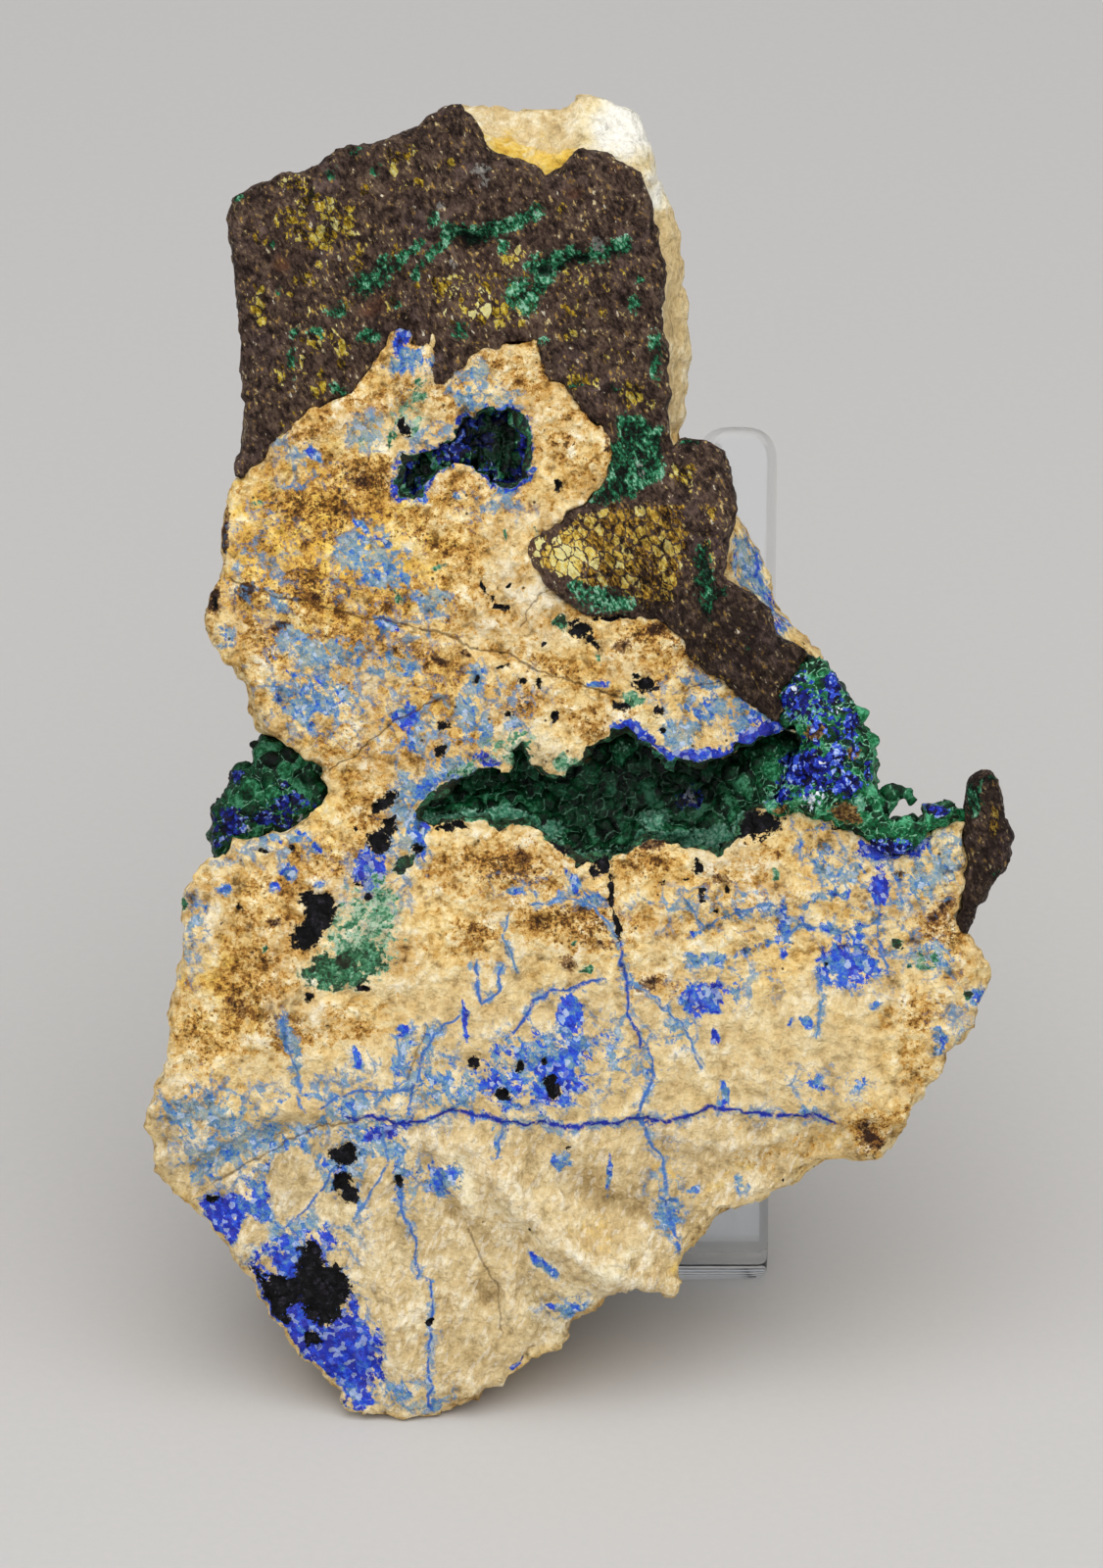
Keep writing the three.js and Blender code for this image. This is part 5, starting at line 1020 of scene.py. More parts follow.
# Malachite on the crust: strength, tone, u, v, half width, half height, turn; then lines of it:
# strength, half width, points; and the outline of the solid green where the wing leaves the cap.
CRUST_GREENS = (
    (0.9, 0.4, -34.4, 139, 1, 0.7), (0.75, 0.6, -21.8, 144, 1.2, 0.6), (0.6, 0.5, -24.2, 141.6, 0.8),
    (0.65, 0.5, -19, 142, 0.7), (0.95, 0.4, -20, 129.6, 2.2, 1.2, 25), (0.9, 0.4, -18.5, 131.2, 0.9, 1.3),
    (0.85, 0.3, -23.5, 126.5, 1.1, 1), (0.75, 0.4, -25.8, 124, 0.7), (0.75, 0.4, -28, 124, 0.8),
    (0.7, 0.5, -28.3, 120.6, 0.5, 2), (0.9, 0.4, -19.8, 123.5, 1.1, 0.9),
    (0.7, 0.4, -30.8, 133.7, 0.6, 0.4), (0.75, 0.4, -23.5, 118, 0.8), (0.6, 0.5, -17, 127.3, 0.7),
    (0.85, 0.35, -12.8, 136.4, 0.7, 1), (0.7, 0.4, -5, 133.5, 0.6, 1.2), (0.92, 0.35, -3, 128, 2, 1.6, -30),
    (0.95, 0.4, -1, 129.5, 0.8, 2, -20), (0.85, 0.4, 9.5, 127.2, 0.9), (0.65, 0.4, 9.8, 130, 0.6),
    (0.75, 0.5, 12, 121, 0.7, 3), (0.6, 0.5, 3.3, 118.5, 0.6), (0.75, 0.4, 7, 117.5, 1, 0.6, -40),
    (0.6, 0.4, -0.4, 123, 0.6), (0.8, 0.5, -9.8, 124.2, 0.9, 1), (0.6, 0.5, -30, 129, 0.4, 1),
    (0.95, 0.6, 17.2, 99, 0.9, 1.6), (0.95, 0.55, 17.3, 96, 1.1, 2.2), (0.9, 0.7, 18.6, 95, 1.2, 0.8),
    (0.95, 0.7, 17.6, 93, 0.7, 1.2), (0.9, 0.7, 15.8, 111.8, 1.6, 0.5),
    (0.96, 0.3, 6.4, 94.4, 3.2, 1.2, -8), (0.7, 0.5, 3.2, 96, 1, 0.8), (0.5, 0.5, 22, 89, 0.4, 2),
    (1.05, 0.5, 47, 73, 1, 2), (0.8, 0.6, 48.6, 74.4, 0.7, 0.5), (0.7, 0.5, 49.8, 64, 0.5))
CRUST_GREEN_LINES = (
    (0.78, 0.55, ((-20.5, 128), (-17.5, 131), (-14, 134))),
    (0.78, 0.55, ((-15, 130), (-12.6, 133), (-10, 134.4))),
    (0.98, 1.0, ((-11, 135), (-8.6, 134.8), (-6, 135.3))),
    (0.95, 0.7, ((-6, 135.2), (-3, 136.4), (-1, 137.4))),
    (0.98, 1.1, ((-1.4, 131.2), (1, 131.8), (3, 132.6))),
    (0.95, 0.9, ((3, 132.4), (6, 132.6), (8.5, 133.6))),
    (0.98, 1.0, ((-2.4, 127), (-0.6, 130), (0.6, 131.4))))
JUNCTION_GREEN = (
    (7.2, 114.5), (9, 115), (12.4, 113.4), (12.8, 112), (13.2, 109.5), (12.8, 108.2), (11, 107),
    (9.5, 106.2), (8.6, 105.4), (5, 104.6), (4.8, 105.4), (6, 106.5), (7, 108), (7, 111.5), (8, 112.6))

# Holes darkened with painted shade, pale grains and rust on the crust: strength, u, v, half width, half
# height, turn.
CRUST_HOLES = (
    (1, -8.6, 134.3, 1.4, 0.8), (0.9, -0.2, 130.6, 1, 0.6), (0.9, 4, 132, 0.9, 0.5),
    (0.9, 1.8, 131.2, 0.6, 0.4), (0.8, -26.4, 139.4, 0.5, 0.9, 30), (0.8, 17.6, 97.4, 0.5, 1.4),
    (0.7, 11.8, 112.4, 0.6, 0.5))
CRUST_PALES = (
    (0.8, -7.5, 142, 1, 0.7), (0.7, -7, 140.4, 0.7, 0.9), (0.85, -12, 138, 0.5),
    (0.95, 5.7, 133.6, 0.7, 0.9), (0.6, -10.6, 131.4, 0.5), (0.5, 10, 109, 0.6, 2, 20),
    (0.5, -1.6, 137.4, 0.9, 0.5))
CRUST_RUST = (
    (0.6, -12, 133.5, 2.4, 0.9, 40), (0.6, -19, 127, 3, 1.4, 30), (0.6, 3, 139.5, 1.6, 1),
    (0.5, 7.5, 142, 1.6, 0.8), (0.7, -29.6, 131.6, 1.4), (0.6, 6, 113, 1, 3), (0.6, 0.6, 103, 3, 1, 35),
    (0.6, -1.6, 99.6, 0.9, 1), (0.5, 16, 90, 1, 2))

# Folds of the crust: height in mm, half width, points.
CRUST_FOLDS = (
    (0.5, 0.8, ((-27, 140.5), (-25.6, 138.4), (-25.4, 136))),
    (0.5, 1.2, ((-33, 128), (-31, 122), (-31.6, 115))),
    (-0.5, 0.9, ((-12, 134.2), (-8, 134.4), (-3, 136.6), (0, 138))),
    (-0.45, 0.8, ((-3, 127), (0, 131), (4, 132), (8, 133.4))),
    (0.5, 1.6, ((-11, 131), (-8, 129), (-7, 125))), (0.45, 1.6, ((3, 129), (8, 129.6), (11, 128))),
    (-0.4, 0.5, ((4.4, 101), (7.4, 98.6), (9.8, 97.4))), (0.4, 0.8, ((16, 88.6), (19, 87.4), (22, 84.6))),
    (-0.4, 0.6, ((17, 92), (19.6, 90), (22.6, 87))), (0.5, 0.8, ((19, 104), (18, 98), (16.6, 92))))


def crust_front(_, normals):
    """The faces of the crust that look out at the viewer."""
    return normals[:, 2] > 0.3


def half_metal(name, source, voxel, smoothing):
    """One piece of the crust: its CAD shape closed up, crinkled, and marked."""
    crust = copy_node(source, name)
    carve(crust, "REMESH", mode="VOXEL", voxel_size=voxel)
    drop_crumbs(crust)
    carve(crust, "SMOOTH", factor=0.5, iterations=smoothing)
    split_faces(crust, crust_front)
    at, facing = vertices(crust)
    u, v, _ = at.T
    front = np.clip((facing[:, 2] - 0.1) / 0.4, 0, 1)
    rock_edge, _ = stroke_distance(u, v, CRUST_OUTLINE_FROM_ROCK)
    height = 0.28 * rough(at, 3.4, 31, 2) + 0.11 * (1 - 2 * np.abs(rough(at * (1, 0.7, 1), 1.8, 33, 3)))
    for rise, half, line in CRUST_FOLDS:
        away, _ = stroke_distance(u, v, line)
        height += front * rise * np.exp(-((away / half) ** 2))
    height -= 0.7 * spots(u, v, CRUST_HOLES) * front
    height += 0.35 * (1 - front) + 0.7 * front * np.exp(-rock_edge / 0.7)
    move_to(crust, crinkled(at + facing * height[:, None]))

    gold_patch = np.clip(0.5 + inside(u, v, GOLD_PATCH) / 1.2, 0, 1)
    green, tone = toned_spots(u, v, CRUST_GREENS)
    for strength, half, line in CRUST_GREEN_LINES:
        green, tone = over(green, tone, strength * stroke_cover(u, v, half, line), 0.35)
    green, tone = over(green, tone, np.clip(0.5 + inside(u, v, JUNCTION_GREEN) / 1.2, 0, 1), 0.45)
    bright = 1.3 * spot_cover(u, v, 1.3, 99.1, 3.2, 2.4) + 0.6 * spot_cover(u, v, -6, 127.6, 6, 4)
    darker_right = 0.4 * np.clip(np.maximum(u - 38, (u > 10) * (96 - v) / 3), 0, 1)
    for label, values in {
        "gold": np.maximum(0.98 * spots(u, v, GOLD_FLECKS), 0.86 * gold_patch) * front,
        "malachite": green * np.clip(front + 0.3, 0, 1),
        "malachite_tone": tone,
        "black": spots(u, v, CRUST_HOLES) * front,
        "pale": spots(u, v, CRUST_PALES) * front,
        "wing": np.clip((108 - v) / 2, 0, 1),
        "rust": spots(u, v, CRUST_RUST) * front,
        "bright": bright - darker_right,
    }.items():
        keep_on(crust, label, values)
    crust.data.shade_smooth()
    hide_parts(source)
    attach(crust, "root")
    return crust


# Goethite is nearly opaque, with a dull half-metallic lustre on its skin and many tiny bright facets.
goethite, tree = material("crystalline_goethite")
place = face_place(tree)
slanted = face_place(tree, (0, 0, 0), (0.8, 1.7, 1.0), 27)
# Each noise: where it lies, width of its features in mm, detail, roughness, bend.
broad, crinkle, streak, grit = (
    add(tree, "TexNoise", {
        "Vector": where, "Scale": 1 / size, "Detail": detail, "Roughness": roughness, "Distortion": bend})
    for where, size, detail, roughness, bend in (
        (place, 7, 3, 0.6, 0),
        (place, 1.5, 5, 0.65, 0.5),
        (slanted, 0.55, 4, 0.7, 0.3),
        (place, 0.3, 2, 0.6, 0)))
facet, other_facet = chips(tree, slanted, 0.31)[:2]
iron = mixture(tree, 0.52, (crinkle, 0.7), (streak, 0.7), (facet, 0.26))
colour = add(tree, "ValToRGB", iron, stops=(
    (0.16, "#1c110c"), (0.34, "#402c24"), (0.5, "#5f4a40"), (0.66, "#76614f"), (0.84, "#a08a74")))
ashy = mixture(tree, 0.34, (broad, 1.6), (streak, 0.5), (crinkle, 0.6))
colour = lay(tree, colour, "#745f60", ashy, 0.35, 0.75, 0.5)
rust = fit(tree, "rust", mixture(tree, 0, (crinkle, 1.2)))
colour = lay(tree, colour, "#6d3f26", rust, 0.3, 0.8, 0.6)
# Painted glints: pale gold flecks on tiny facets stand in for highlights on the crust.
painted_glint = mixture(tree, 0.09, (facet, 1.0), (streak, 1.5), (crinkle, 0.4))
painted_glint_colour = add(tree, "ValToRGB", other_facet, stops=(
    (0.0, "#8f6c3c"), (0.5, "#c69c4c"), (0.85, "#e6cc8c"), (1.0, "#fbf2da")))
colour = lay(tree, colour, painted_glint_colour, painted_glint, 0.54, 0.6, 0.92)

# The gold lies in bright flakes about 1.2 mm wide, with dark seams between them.
bent = pushed(tree, face_place(tree, (7, 3, 1), (0.85, 1.3, 1.0), 24), place, 0.9, 0.9)
flakes, seams = (add(tree, "TexVoronoi", {"Vector": bent, "Scale": 0.85}, feature=feature)
                 for feature in ("F1", "DISTANCE_TO_EDGE"))
flake = add(tree, "SeparateColor", flakes.outputs["Color"])
gold = fit(tree, "gold", mixture(tree, 0, (flake, 0.6), (crinkle, 0.9), (streak, 0.7), (facet, 0.35)))
gold = add(tree, "Math", gold, add(tree, "MapRange", seams.outputs["Distance"], 0.03, 0.1, -0.8, 0.0))
gold_tone = mixture(tree, 0.42, (flake.outputs[1], 0.8), (other_facet, 0.5), (grit, 0.4), (streak, 1.2))
gold_tone = add(tree, "Math", "bright", 0.4, gold_tone, operation="MULTIPLY_ADD")
fleck_gold = add(tree, "ValToRGB", gold_tone, stops=(
    (0.0, "#2a1e0a"), (0.22, "#75590f"), (0.45, "#c8a224"), (0.68, "#ead04c"), (1.0, "#fbf2a8")))
wing_gold = add(tree, "ValToRGB", gold_tone, stops=(
    (0.0, "#2a180a"), (0.2, "#8c6422"), (0.42, "#d4a63c"), (0.66, "#f6d45c"), (1.0, "#fff3a6")))
gold_colour = add(tree, "MixRGB", "wing", fleck_gold, wing_gold)
colour = lay(tree, colour, gold_colour, gold, 0.46, 0.54, 0.97)

# Malachite films lie in the crust's hollows.
malachite = fit(tree, "malachite", mixture(tree, -0.04, (crinkle, 2.0), (streak, 1.4), (other_facet, 0.5)))
green_depth = mixture(tree, 0.1, (grit, 0.9), (facet, 0.5), (crinkle, -1.9), (streak, -2.0))
green_depth = add(tree, "Math", "malachite_tone", green_depth)
green = add(tree, "ValToRGB", green_depth, stops=(
    (0.0, "#a6dcbc"), (0.18, "#4aa578"), (0.38, "#1d7f52"), (0.6, "#093f28"), (0.86, "#010a05")))
colour = lay(tree, colour, green, malachite, 0.44, 0.56, 0.95)
pale = fit(tree, "pale", mixture(tree, 0, (crinkle, 1.2), (facet, 0.6)))
colour = lay(tree, colour, "#a5a39c", pale, 0.5, 0.6, 0.8)
# Painted shade: the crust's holes are painted near-black green.
black = fit(tree, "black", mixture(tree, 0, (crinkle, 1.4), (streak, 0.8)))
colour = lay(tree, colour, "#04140d", black, 0.42, 0.66, 0.9)
# Painted shade: the crust's hollows are darkened, less so where it is bright.
painted_hollow_shade = mixture(tree, 0.5, (crinkle, 0.8), (streak, 0.6), ("bright", 0.3))
painted_hollow_shade = add(tree, "ValToRGB", painted_hollow_shade, stops=((0.2, "#4c4641"), (0.45, "#f4f3f1"), (0.6, "#ffffff")))
colour = add(tree, "MixRGB", 0.8, colour, painted_hollow_shade, blend_type="MULTIPLY")
dull = add(tree, "MapRange", facet, 0.75, 0.95, 0.66, 0.3)
relief = mixture(tree, 0, (crinkle, 1.0), (streak, 0.7), (facet, 0.28), (grit, 0.12))
mineral_skin(tree, colour, dull, relief, 0.15)

crust_and_horn = (
    half_metal("goethite_crust_crinkled", "goethite_crust", voxel=0.56 * MM, smoothing=6),
    half_metal("goethite_horn_crinkled", "goethite_horn", voxel=0.4 * MM, smoothing=30),
)
for crust in crust_and_horn:
    crust.data.materials.append(goethite)

# ---- malachite and azurite growths --------------------------------------------------------------
# Malachite grew as balls packed skin to skin, dark green, with a paler line where two of them meet as a
# painted highlight;
# azurite grew as clumps of small deep blue crystals. Each growth is one skin over many of them.


def scatter_on(piece, sizes, seed, keep, closeness=0.72):
    """Places on a piece's faces for balls of random radii between the two sizes in mm, closely packed."""
    middles, normals = faces(piece)
    chance = np.random.default_rng(seed)
    order = chance.permutation(np.flatnonzero(keep(middles, normals)))
    places, radii = np.empty((0, 3)), np.empty(0)
    for index in order:
        radius = sizes[0] + (sizes[1] - sizes[0]) * chance.random() ** 2
        apart = np.linalg.norm(places - middles[index], axis=1)
        if np.all(apart > closeness * (radii + radius)):
            places = np.vstack((places, middles[index]))
            radii = np.append(radii, radius)
    return places, radii


def add_shapes(piece, template, places, radii, seed, stretch=(1.0, 1.0, 1.0)):
    """Joins copies of a small closed shape to a piece, each turned its own way."""
    chance = np.random.default_rng(seed)
    shape = np.array([vertex.co for vertex in template.vertices])
    shape_faces = [list(face.vertices) for face in template.polygons]
    points, polygons = [], []
    for place, radius in zip(places, radii):
        turn = np.linalg.qr(chance.normal(size=(3, 3)))[0]
        turn *= np.sign(np.linalg.det(turn))
        first = len(points) * len(shape)
        polygons += [[first + index for index in face] for face in shape_faces]
        points.append(off_face(place + (shape * radius * stretch) @ turn))
    mesh = bpy.data.meshes.new("growth_shapes")
    mesh.from_pydata(np.vstack(points).tolist(), [], polygons)
    many = bpy.data.objects.new("growth_shapes", mesh)
    bpy.context.collection.objects.link(many)
    select_only(piece)
    many.select_set(True)
    bpy.ops.object.join()


def meeting_lines(piece, places, radii):
    """For each vertex: how near it is to where two balls meet (0 there), and a number for its ball."""
    tree = KDTree(len(places))
    for index, place in enumerate(places):
        tree.insert(place, index)
    tree.balance()
    at, _ = vertices(piece)
    joint, own = np.empty(len(at)), np.empty(len(at))
    for row, place in enumerate(at):
        near = sorted((distance - radii[index], index) for _, index, distance in tree.find_n(place, 7))
        joint[row] = near[1][0] - near[0][0]
        own[row] = (near[0][1] * 0.618034) % 1
    return joint, own


# The shapes that are scattered: a ball of radius 1, and a six-sided crystal that tapers to both ends.
bpy.ops.mesh.primitive_ico_sphere_add(subdivisions=2, radius=1)
ball = bpy.context.object
bpy.ops.mesh.primitive_cylinder_add(vertices=6, radius=0.55, depth=1.5)
crystal = bpy.context.object
unselect(crystal, "FACE")
for face in crystal.data.polygons:
    face.select = abs(face.normal.z) > 0.9
with editing(crystal):
    bpy.ops.mesh.extrude_region_move(TRANSFORM_OT_translate={"value": (0, 0, 0)})
    bpy.ops.transform.resize(value=(0.45, 0.45, 1.35), center_override=(0, 0, 0))
ball_mesh, crystal_mesh = ball.data, crystal.data
bpy.data.objects.remove(ball)
bpy.data.objects.remove(crystal)

# Areas of blue azurite: strength, tone, u, v, half width, half height, turn.
AZURE_ON_GROWTHS = (
    (0.95, 0.95, 31.5, 84, 1.2, 2.2), (0.95, 1, 33.7, 80.7, 0.9, 1.3), (0.7, 0.5, 28, 83.5, 2.4, 2.6),
    (0.42, 0.9, 31, 79, 5, 6), (0.98, 0.8, 29, 75.4, 3, 2.4), (0.95, 0.9, 31.8, 76.6, 1.2, 1.6),
    (0.95, 0.85, 33, 73.7, 1.8, 1.2), (0.9, 0.9, 35.6, 75, 0.6, 1.2), (1, 1, 37.6, 66.8, 2.8, 0.9),
    (1, 1, 43, 70.9, 1.2, 0.6), (0.85, 0.8, 26, 72.4, 1.8, 0.8, 30), (0.66, 0.8, 15.6, 72.4, 1.4, 1.3),
    (0.8, 0.9, -34.8, 74.8, 0.8, 0.7), (0.85, 0.7, -35.4, 69.6, 2.2, 1.6), (0.8, 0.7, -31, 70, 3, 0.9),
    (0.75, 0.7, -28.6, 71.8, 2.4, 1), (0.7, 0.8, -36.6, 67.4, 1, 1), (0.6, 0.7, -29.6, 73.8, 1.2, 0.6),
    (0.95, 0.9, -7, 111.9, 1.1, 1), (1.2, 0.8, -10.6, 111.2, 2.1, 1.9), (0.7, 0.8, -4, 108.4, 0.8, 0.8),
    (0.6, 0.8, -14.6, 107, 1, 0.5))

# White, brown and pale green areas: strength, u, v, half width, half height, turn.
WHITE_ON_GROWTHS = (
    (0.6, -10.6, 111.2, 1.2, 0.9), (0.46, 15.6, 72.6, 0.8, 1.4, 20), (0.46, 27.2, 84.4, 0.9, 0.8),
    (0.6, 32.2, 82.6, 0.4), (0.42, 33.6, 73.4, 0.7), (0.6, 29.4, 72, 1.6, 1.2), (0.36, 30, 76.6, 1.6, 1),
    (0.55, -33.2, 69, 0.5), (0.6, -27.6, 70.3, 0.7, 0.4), (0.5, -7, 112, 0.6), (0.7, 32.6, 81.8, 0.3, 0.8))
BROWN_ON_GROWTHS = (
    (0.95, 29.6, 79.8, 1.2, 1), (0.7, 33.6, 77.4, 1.1, 0.9, 20), (0.95, 33, 70.6, 1.8, 1.1, -20),
    (0.6, 3.6, 76.4, 1.6, 0.8), (0.9, 25.6, 71, 1.2, 0.6))
PALE_ON_GROWTHS = (
    (0.8, 33, 77.6, 2.4, 0.7, -20), (0.7, 28, 82.4, 2.4, 2), (0.6, 33.8, 83, 0.8, 0.4),
    (0.75, 36.2, 66.8, 1, 0.4), (0.7, 34.6, 71.6, 1, 1.4), (0.85, 12, 70, 2.4, 0.9),
    (0.8, 18, 68.4, 2.8, 0.9), (0.8, -5.6, 70.7, 4, 0.7), (0.75, 0.6, 68.8, 1.6, 1.2), (0.5, 8.4, 78, 2, 1))

# The pale lower rim of the hollow runs along the first part of its mouth.
VUG_LOWER_RIM = VUG_MOUTH[:23]

# Balls with a place of their own: u, v, w, radius.
VUG_BALLS = (
    (24.6, 77.4, -3.4, 1.8), (22.6, 75, -4, 1.9), (25.6, 74.6, -3.2, 1.7), (20.4, 71.4, -5, 1.9),
    (22.2, 72.6, -4.4, 1.6), (18.4, 69.6, -4.6, 1.5), (16.4, 68.6, -3.4, 1.1), (12.6, 69.2, -3.2, 1.3),
    (10.6, 69.2, -3.4, 1.2), (5.6, 77.6, -5, 1.8), (8.4, 77.8, -5, 1.6))
PIT_BALLS = (
    (-10.6, 110.6, -1.1, 0.9), (-11.4, 110.2, -1.0, 0.8), (-10, 111.4, -1.1, 0.8), (-9.6, 110.9, -1.3, 0.9),
    (-12, 109.7, -1.2, 0.7))
HOOK_BALLS = (
    (36.9, 70.2, -3, 1.3), (37.3, 71.5, -3, 1.3), (38, 72.6, -3, 1.2), (39, 73, -3, 1.0),
    (39.9, 72.7, -3, 0.8), (40.4, 71.9, -3, 0.65), (36.4, 71.4, -2.4, 0.9), (38.2, 71.6, -2.6, 0.7))

# The hook is built of balls, so its plain shape between these two u is pressed down to this v.
HOOK_LEFT, HOOK_RIGHT, HOOK_FOOT = 36.6, 41.8, 69

# How shaded a growth is level with the face, 0 to 1, and the depth in mm over which that rises by 1.
SHADOWS = {
    "malachite": (0.04, 9),
    "pit_malachite": (0.3, 3.4),
    "azurite_malachite_left": (0.26, 9),
    "azurite_malachite_right": (0.06, 9),
}

BASE_VOXEL = 0.5 * MM
CRYSTAL_STRETCH = (1, 0.8, 1)


def outward(_, normals):
    """The faces of a growth that look out at the viewer."""
    return normals[:, 2] > -0.1


def blue_part(places, normals):
    """The faces of a growth where azurite crystals stand."""
    azure, _ = toned_spots(places[:, 0], places[:, 1], AZURE_ON_GROWTHS)
    return (normals[:, 2] > -0.2) & (azure > 0.4)


def pit_rim_part(places, _):
    """The faces of a growth along the rim of the pits."""
    return np.abs(inside(places[:, 0], places[:, 1], PIT_OUTLINE)) < 0.9


def growth_piece(name, source, slot, seed, voxel, smoothing, ball_sizes, extra=(), crystals=None):
    """A growth: its CAD shape, covered with balls and crystals, skinned as one, and marked.
    Extra are balls with a place of their own. Crystals are where they stand, and their sizes in mm."""
    growth = copy_node(source, name)
    carve(growth, "REMESH", mode="VOXEL", voxel_size=BASE_VOXEL)
    carve(growth, "SMOOTH", factor=0.5, iterations=smoothing)
    if slot == "azurite_malachite_right":
        at, _ = vertices(growth)
        hook = (at[:, 0] > HOOK_LEFT) & (at[:, 0] < HOOK_RIGHT)
        at[hook, 1] = np.minimum(at[hook, 1], HOOK_FOOT + 0.2 * (at[hook, 1] - HOOK_FOOT))
        move_to(growth, at)
    places, radii = scatter_on(growth, ball_sizes, seed, outward)
    for *place, radius in extra:
        places, radii = np.vstack((places, place)), np.append(radii, radius)
    if crystals:
        where, sizes = crystals
        crystal_places, lengths = scatter_on(growth, sizes, seed + 1, where, 0.5)
    add_shapes(growth, ball_mesh, places, radii, seed)
    if crystals:
        add_shapes(growth, crystal_mesh, crystal_places, lengths, seed + 2, CRYSTAL_STRETCH)
    carve(growth, "REMESH", mode="VOXEL", voxel_size=voxel)
    drop_crumbs(growth)
    carve(growth, "SMOOTH", factor=0.4, iterations=1)
    joint, own = meeting_lines(growth, places, radii)
    at, _ = vertices(growth)
    u, v, w = at.T
    azure, tone = toned_spots(u, v, AZURE_ON_GROWTHS)
    pit_rim = np.clip(1.3 - np.abs(inside(u, v, PIT_OUTLINE)) / 1.1, 0, 1)
    azure = np.maximum(azure, np.clip(0.62 + 0.9 * rough(at, 3.2, 77, 1), 0, 0.9) * pit_rim)
    vug_rim, _ = stroke_distance(u, v, VUG_LOWER_RIM)
    # Painted shade: each growth is darkened with its depth below the face; the hollow's lining is also darker
    # towards the right.
    shadow, fall = SHADOWS[slot]
    depth = shadow - w / fall
    if slot == "malachite":
        depth += np.clip((u - 4) / 60, -0.15, 0.2)
    for label, values in {
        "joint": joint,
        "own": own,
        "azurite": azure,
        "azurite_tone": tone,
        "white": spots(u, v, WHITE_ON_GROWTHS),
        "rust": spots(u, v, BROWN_ON_GROWTHS),
        "rim": np.maximum(np.clip(1.3 - vug_rim / 0.9, 0, 1), spots(u, v, PALE_ON_GROWTHS)),
        "depth": np.clip(depth, 0, 1),
    }.items():
        keep_on(growth, label, values)
    move_to(growth, crinkled(at))
    growth.data.shade_smooth()
    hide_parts(source)
    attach(growth, "root")
    return growth


# Malachite balls have a silky skin; azurite is glassy and so deep a blue that only its facets show it.
druse, tree = material("botryoidal_malachite_and_azurite")
place = face_place(tree)
clump, drusy = (
    add(tree, "TexNoise", {"Vector": place, "Scale": 1 / size, "Detail": detail, "Roughness": roughness})
    for size, detail, roughness in ((1.6, 4, 0.65), (0.4, 3, 0.6)))
facet, other_facet, third_facet = chips(tree, place, 0.5)
tone = mixture(tree, 0.44, ("own", 0.45), (clump, 1.3), (drusy, 0.5))
colour = add(tree, "ValToRGB", tone, stops=(
    (0.12, "#010b04"), (0.36, "#07371c"), (0.56, "#16673a"), (0.78, "#58ae80")))
# Painted highlight: a pale green line where two balls meet, standing in for their lit rims.
line = add(tree, "Math", "joint", mixture(tree, 0, (drusy, 0.3)))
colour = lay(tree, colour, "#8ccfa6", line, 0.13, 0.03, 0.8)
uneven = mixture(tree, 0, (clump, 1.0), (drusy, 0.4))
pale_green = add(tree, "ValToRGB", drusy, stops=((0.3, "#1c6a4a"), (0.5, "#5aa683"), (0.7, "#b9dcc6")))
colour = lay(tree, colour, pale_green, fit(tree, "rim", uneven), 0.42, 0.62, 0.85)
brown = add(tree, "ValToRGB", drusy, stops=((0.36, "#20150c"), (0.5, "#5a4020"), (0.64, "#9a7c48")))
colour = lay(tree, colour, brown, fit(tree, "rust", uneven), 0.42, 0.56)
azure = fit(tree, "azurite", mixture(tree, 0, (clump, 1.3), (facet, 0.5)))
depth = mixture(tree, 0.4, (other_facet, 0.9), (drusy, 0.8), (clump, 0.5))
blue = add(tree, "ValToRGB", depth, stops=(
    (0.05, "#02031c"), (0.3, "#0a1058"), (0.52, "#141f98"), (0.76, "#3558ca"), (0.95, "#b4c8f2")))
colour = lay(tree, colour, blue, azure, 0.44, 0.54)
white = add(tree, "ValToRGB", drusy, stops=((0.35, "#8ea6cc"), (0.6, "#f2f5f8")))
white_cover = fit(tree, "white", mixture(tree, 0, (clump, 0.8), (third_facet, 1.0)))
colour = lay(tree, colour, white, white_cover, 0.66, 0.76, 0.9)
# Painted shade: the colour is darkened by the growth's depth below the face.
shade = add(tree, "ValToRGB", "depth", stops=((0.1, "#ffffff"), (0.45, "#c0c0c0"), (0.9, "#5a5a5a")))
colour = add(tree, "MixRGB", 1.0, colour, shade, blend_type="MULTIPLY")
dull = add(tree, "MapRange", third_facet, 0.6, 0.95, 0.5, 0.16)
mineral_skin(tree, colour, dull, mixture(tree, 0, (drusy, 0.12), (facet, 0.12), (clump, 0.1)))

# Small balls crowd along the rim of the pits, three near each point of its outline.
chance = np.random.default_rng(17)
pit_rim_balls = [
    (u + chance.uniform(-0.7, 0.7), v + chance.uniform(-0.7, 0.7),
     chance.uniform(-1.5, -0.6), chance.uniform(0.35, 0.8))
    for u, v in PIT_OUTLINE
    for _ in range(3)]

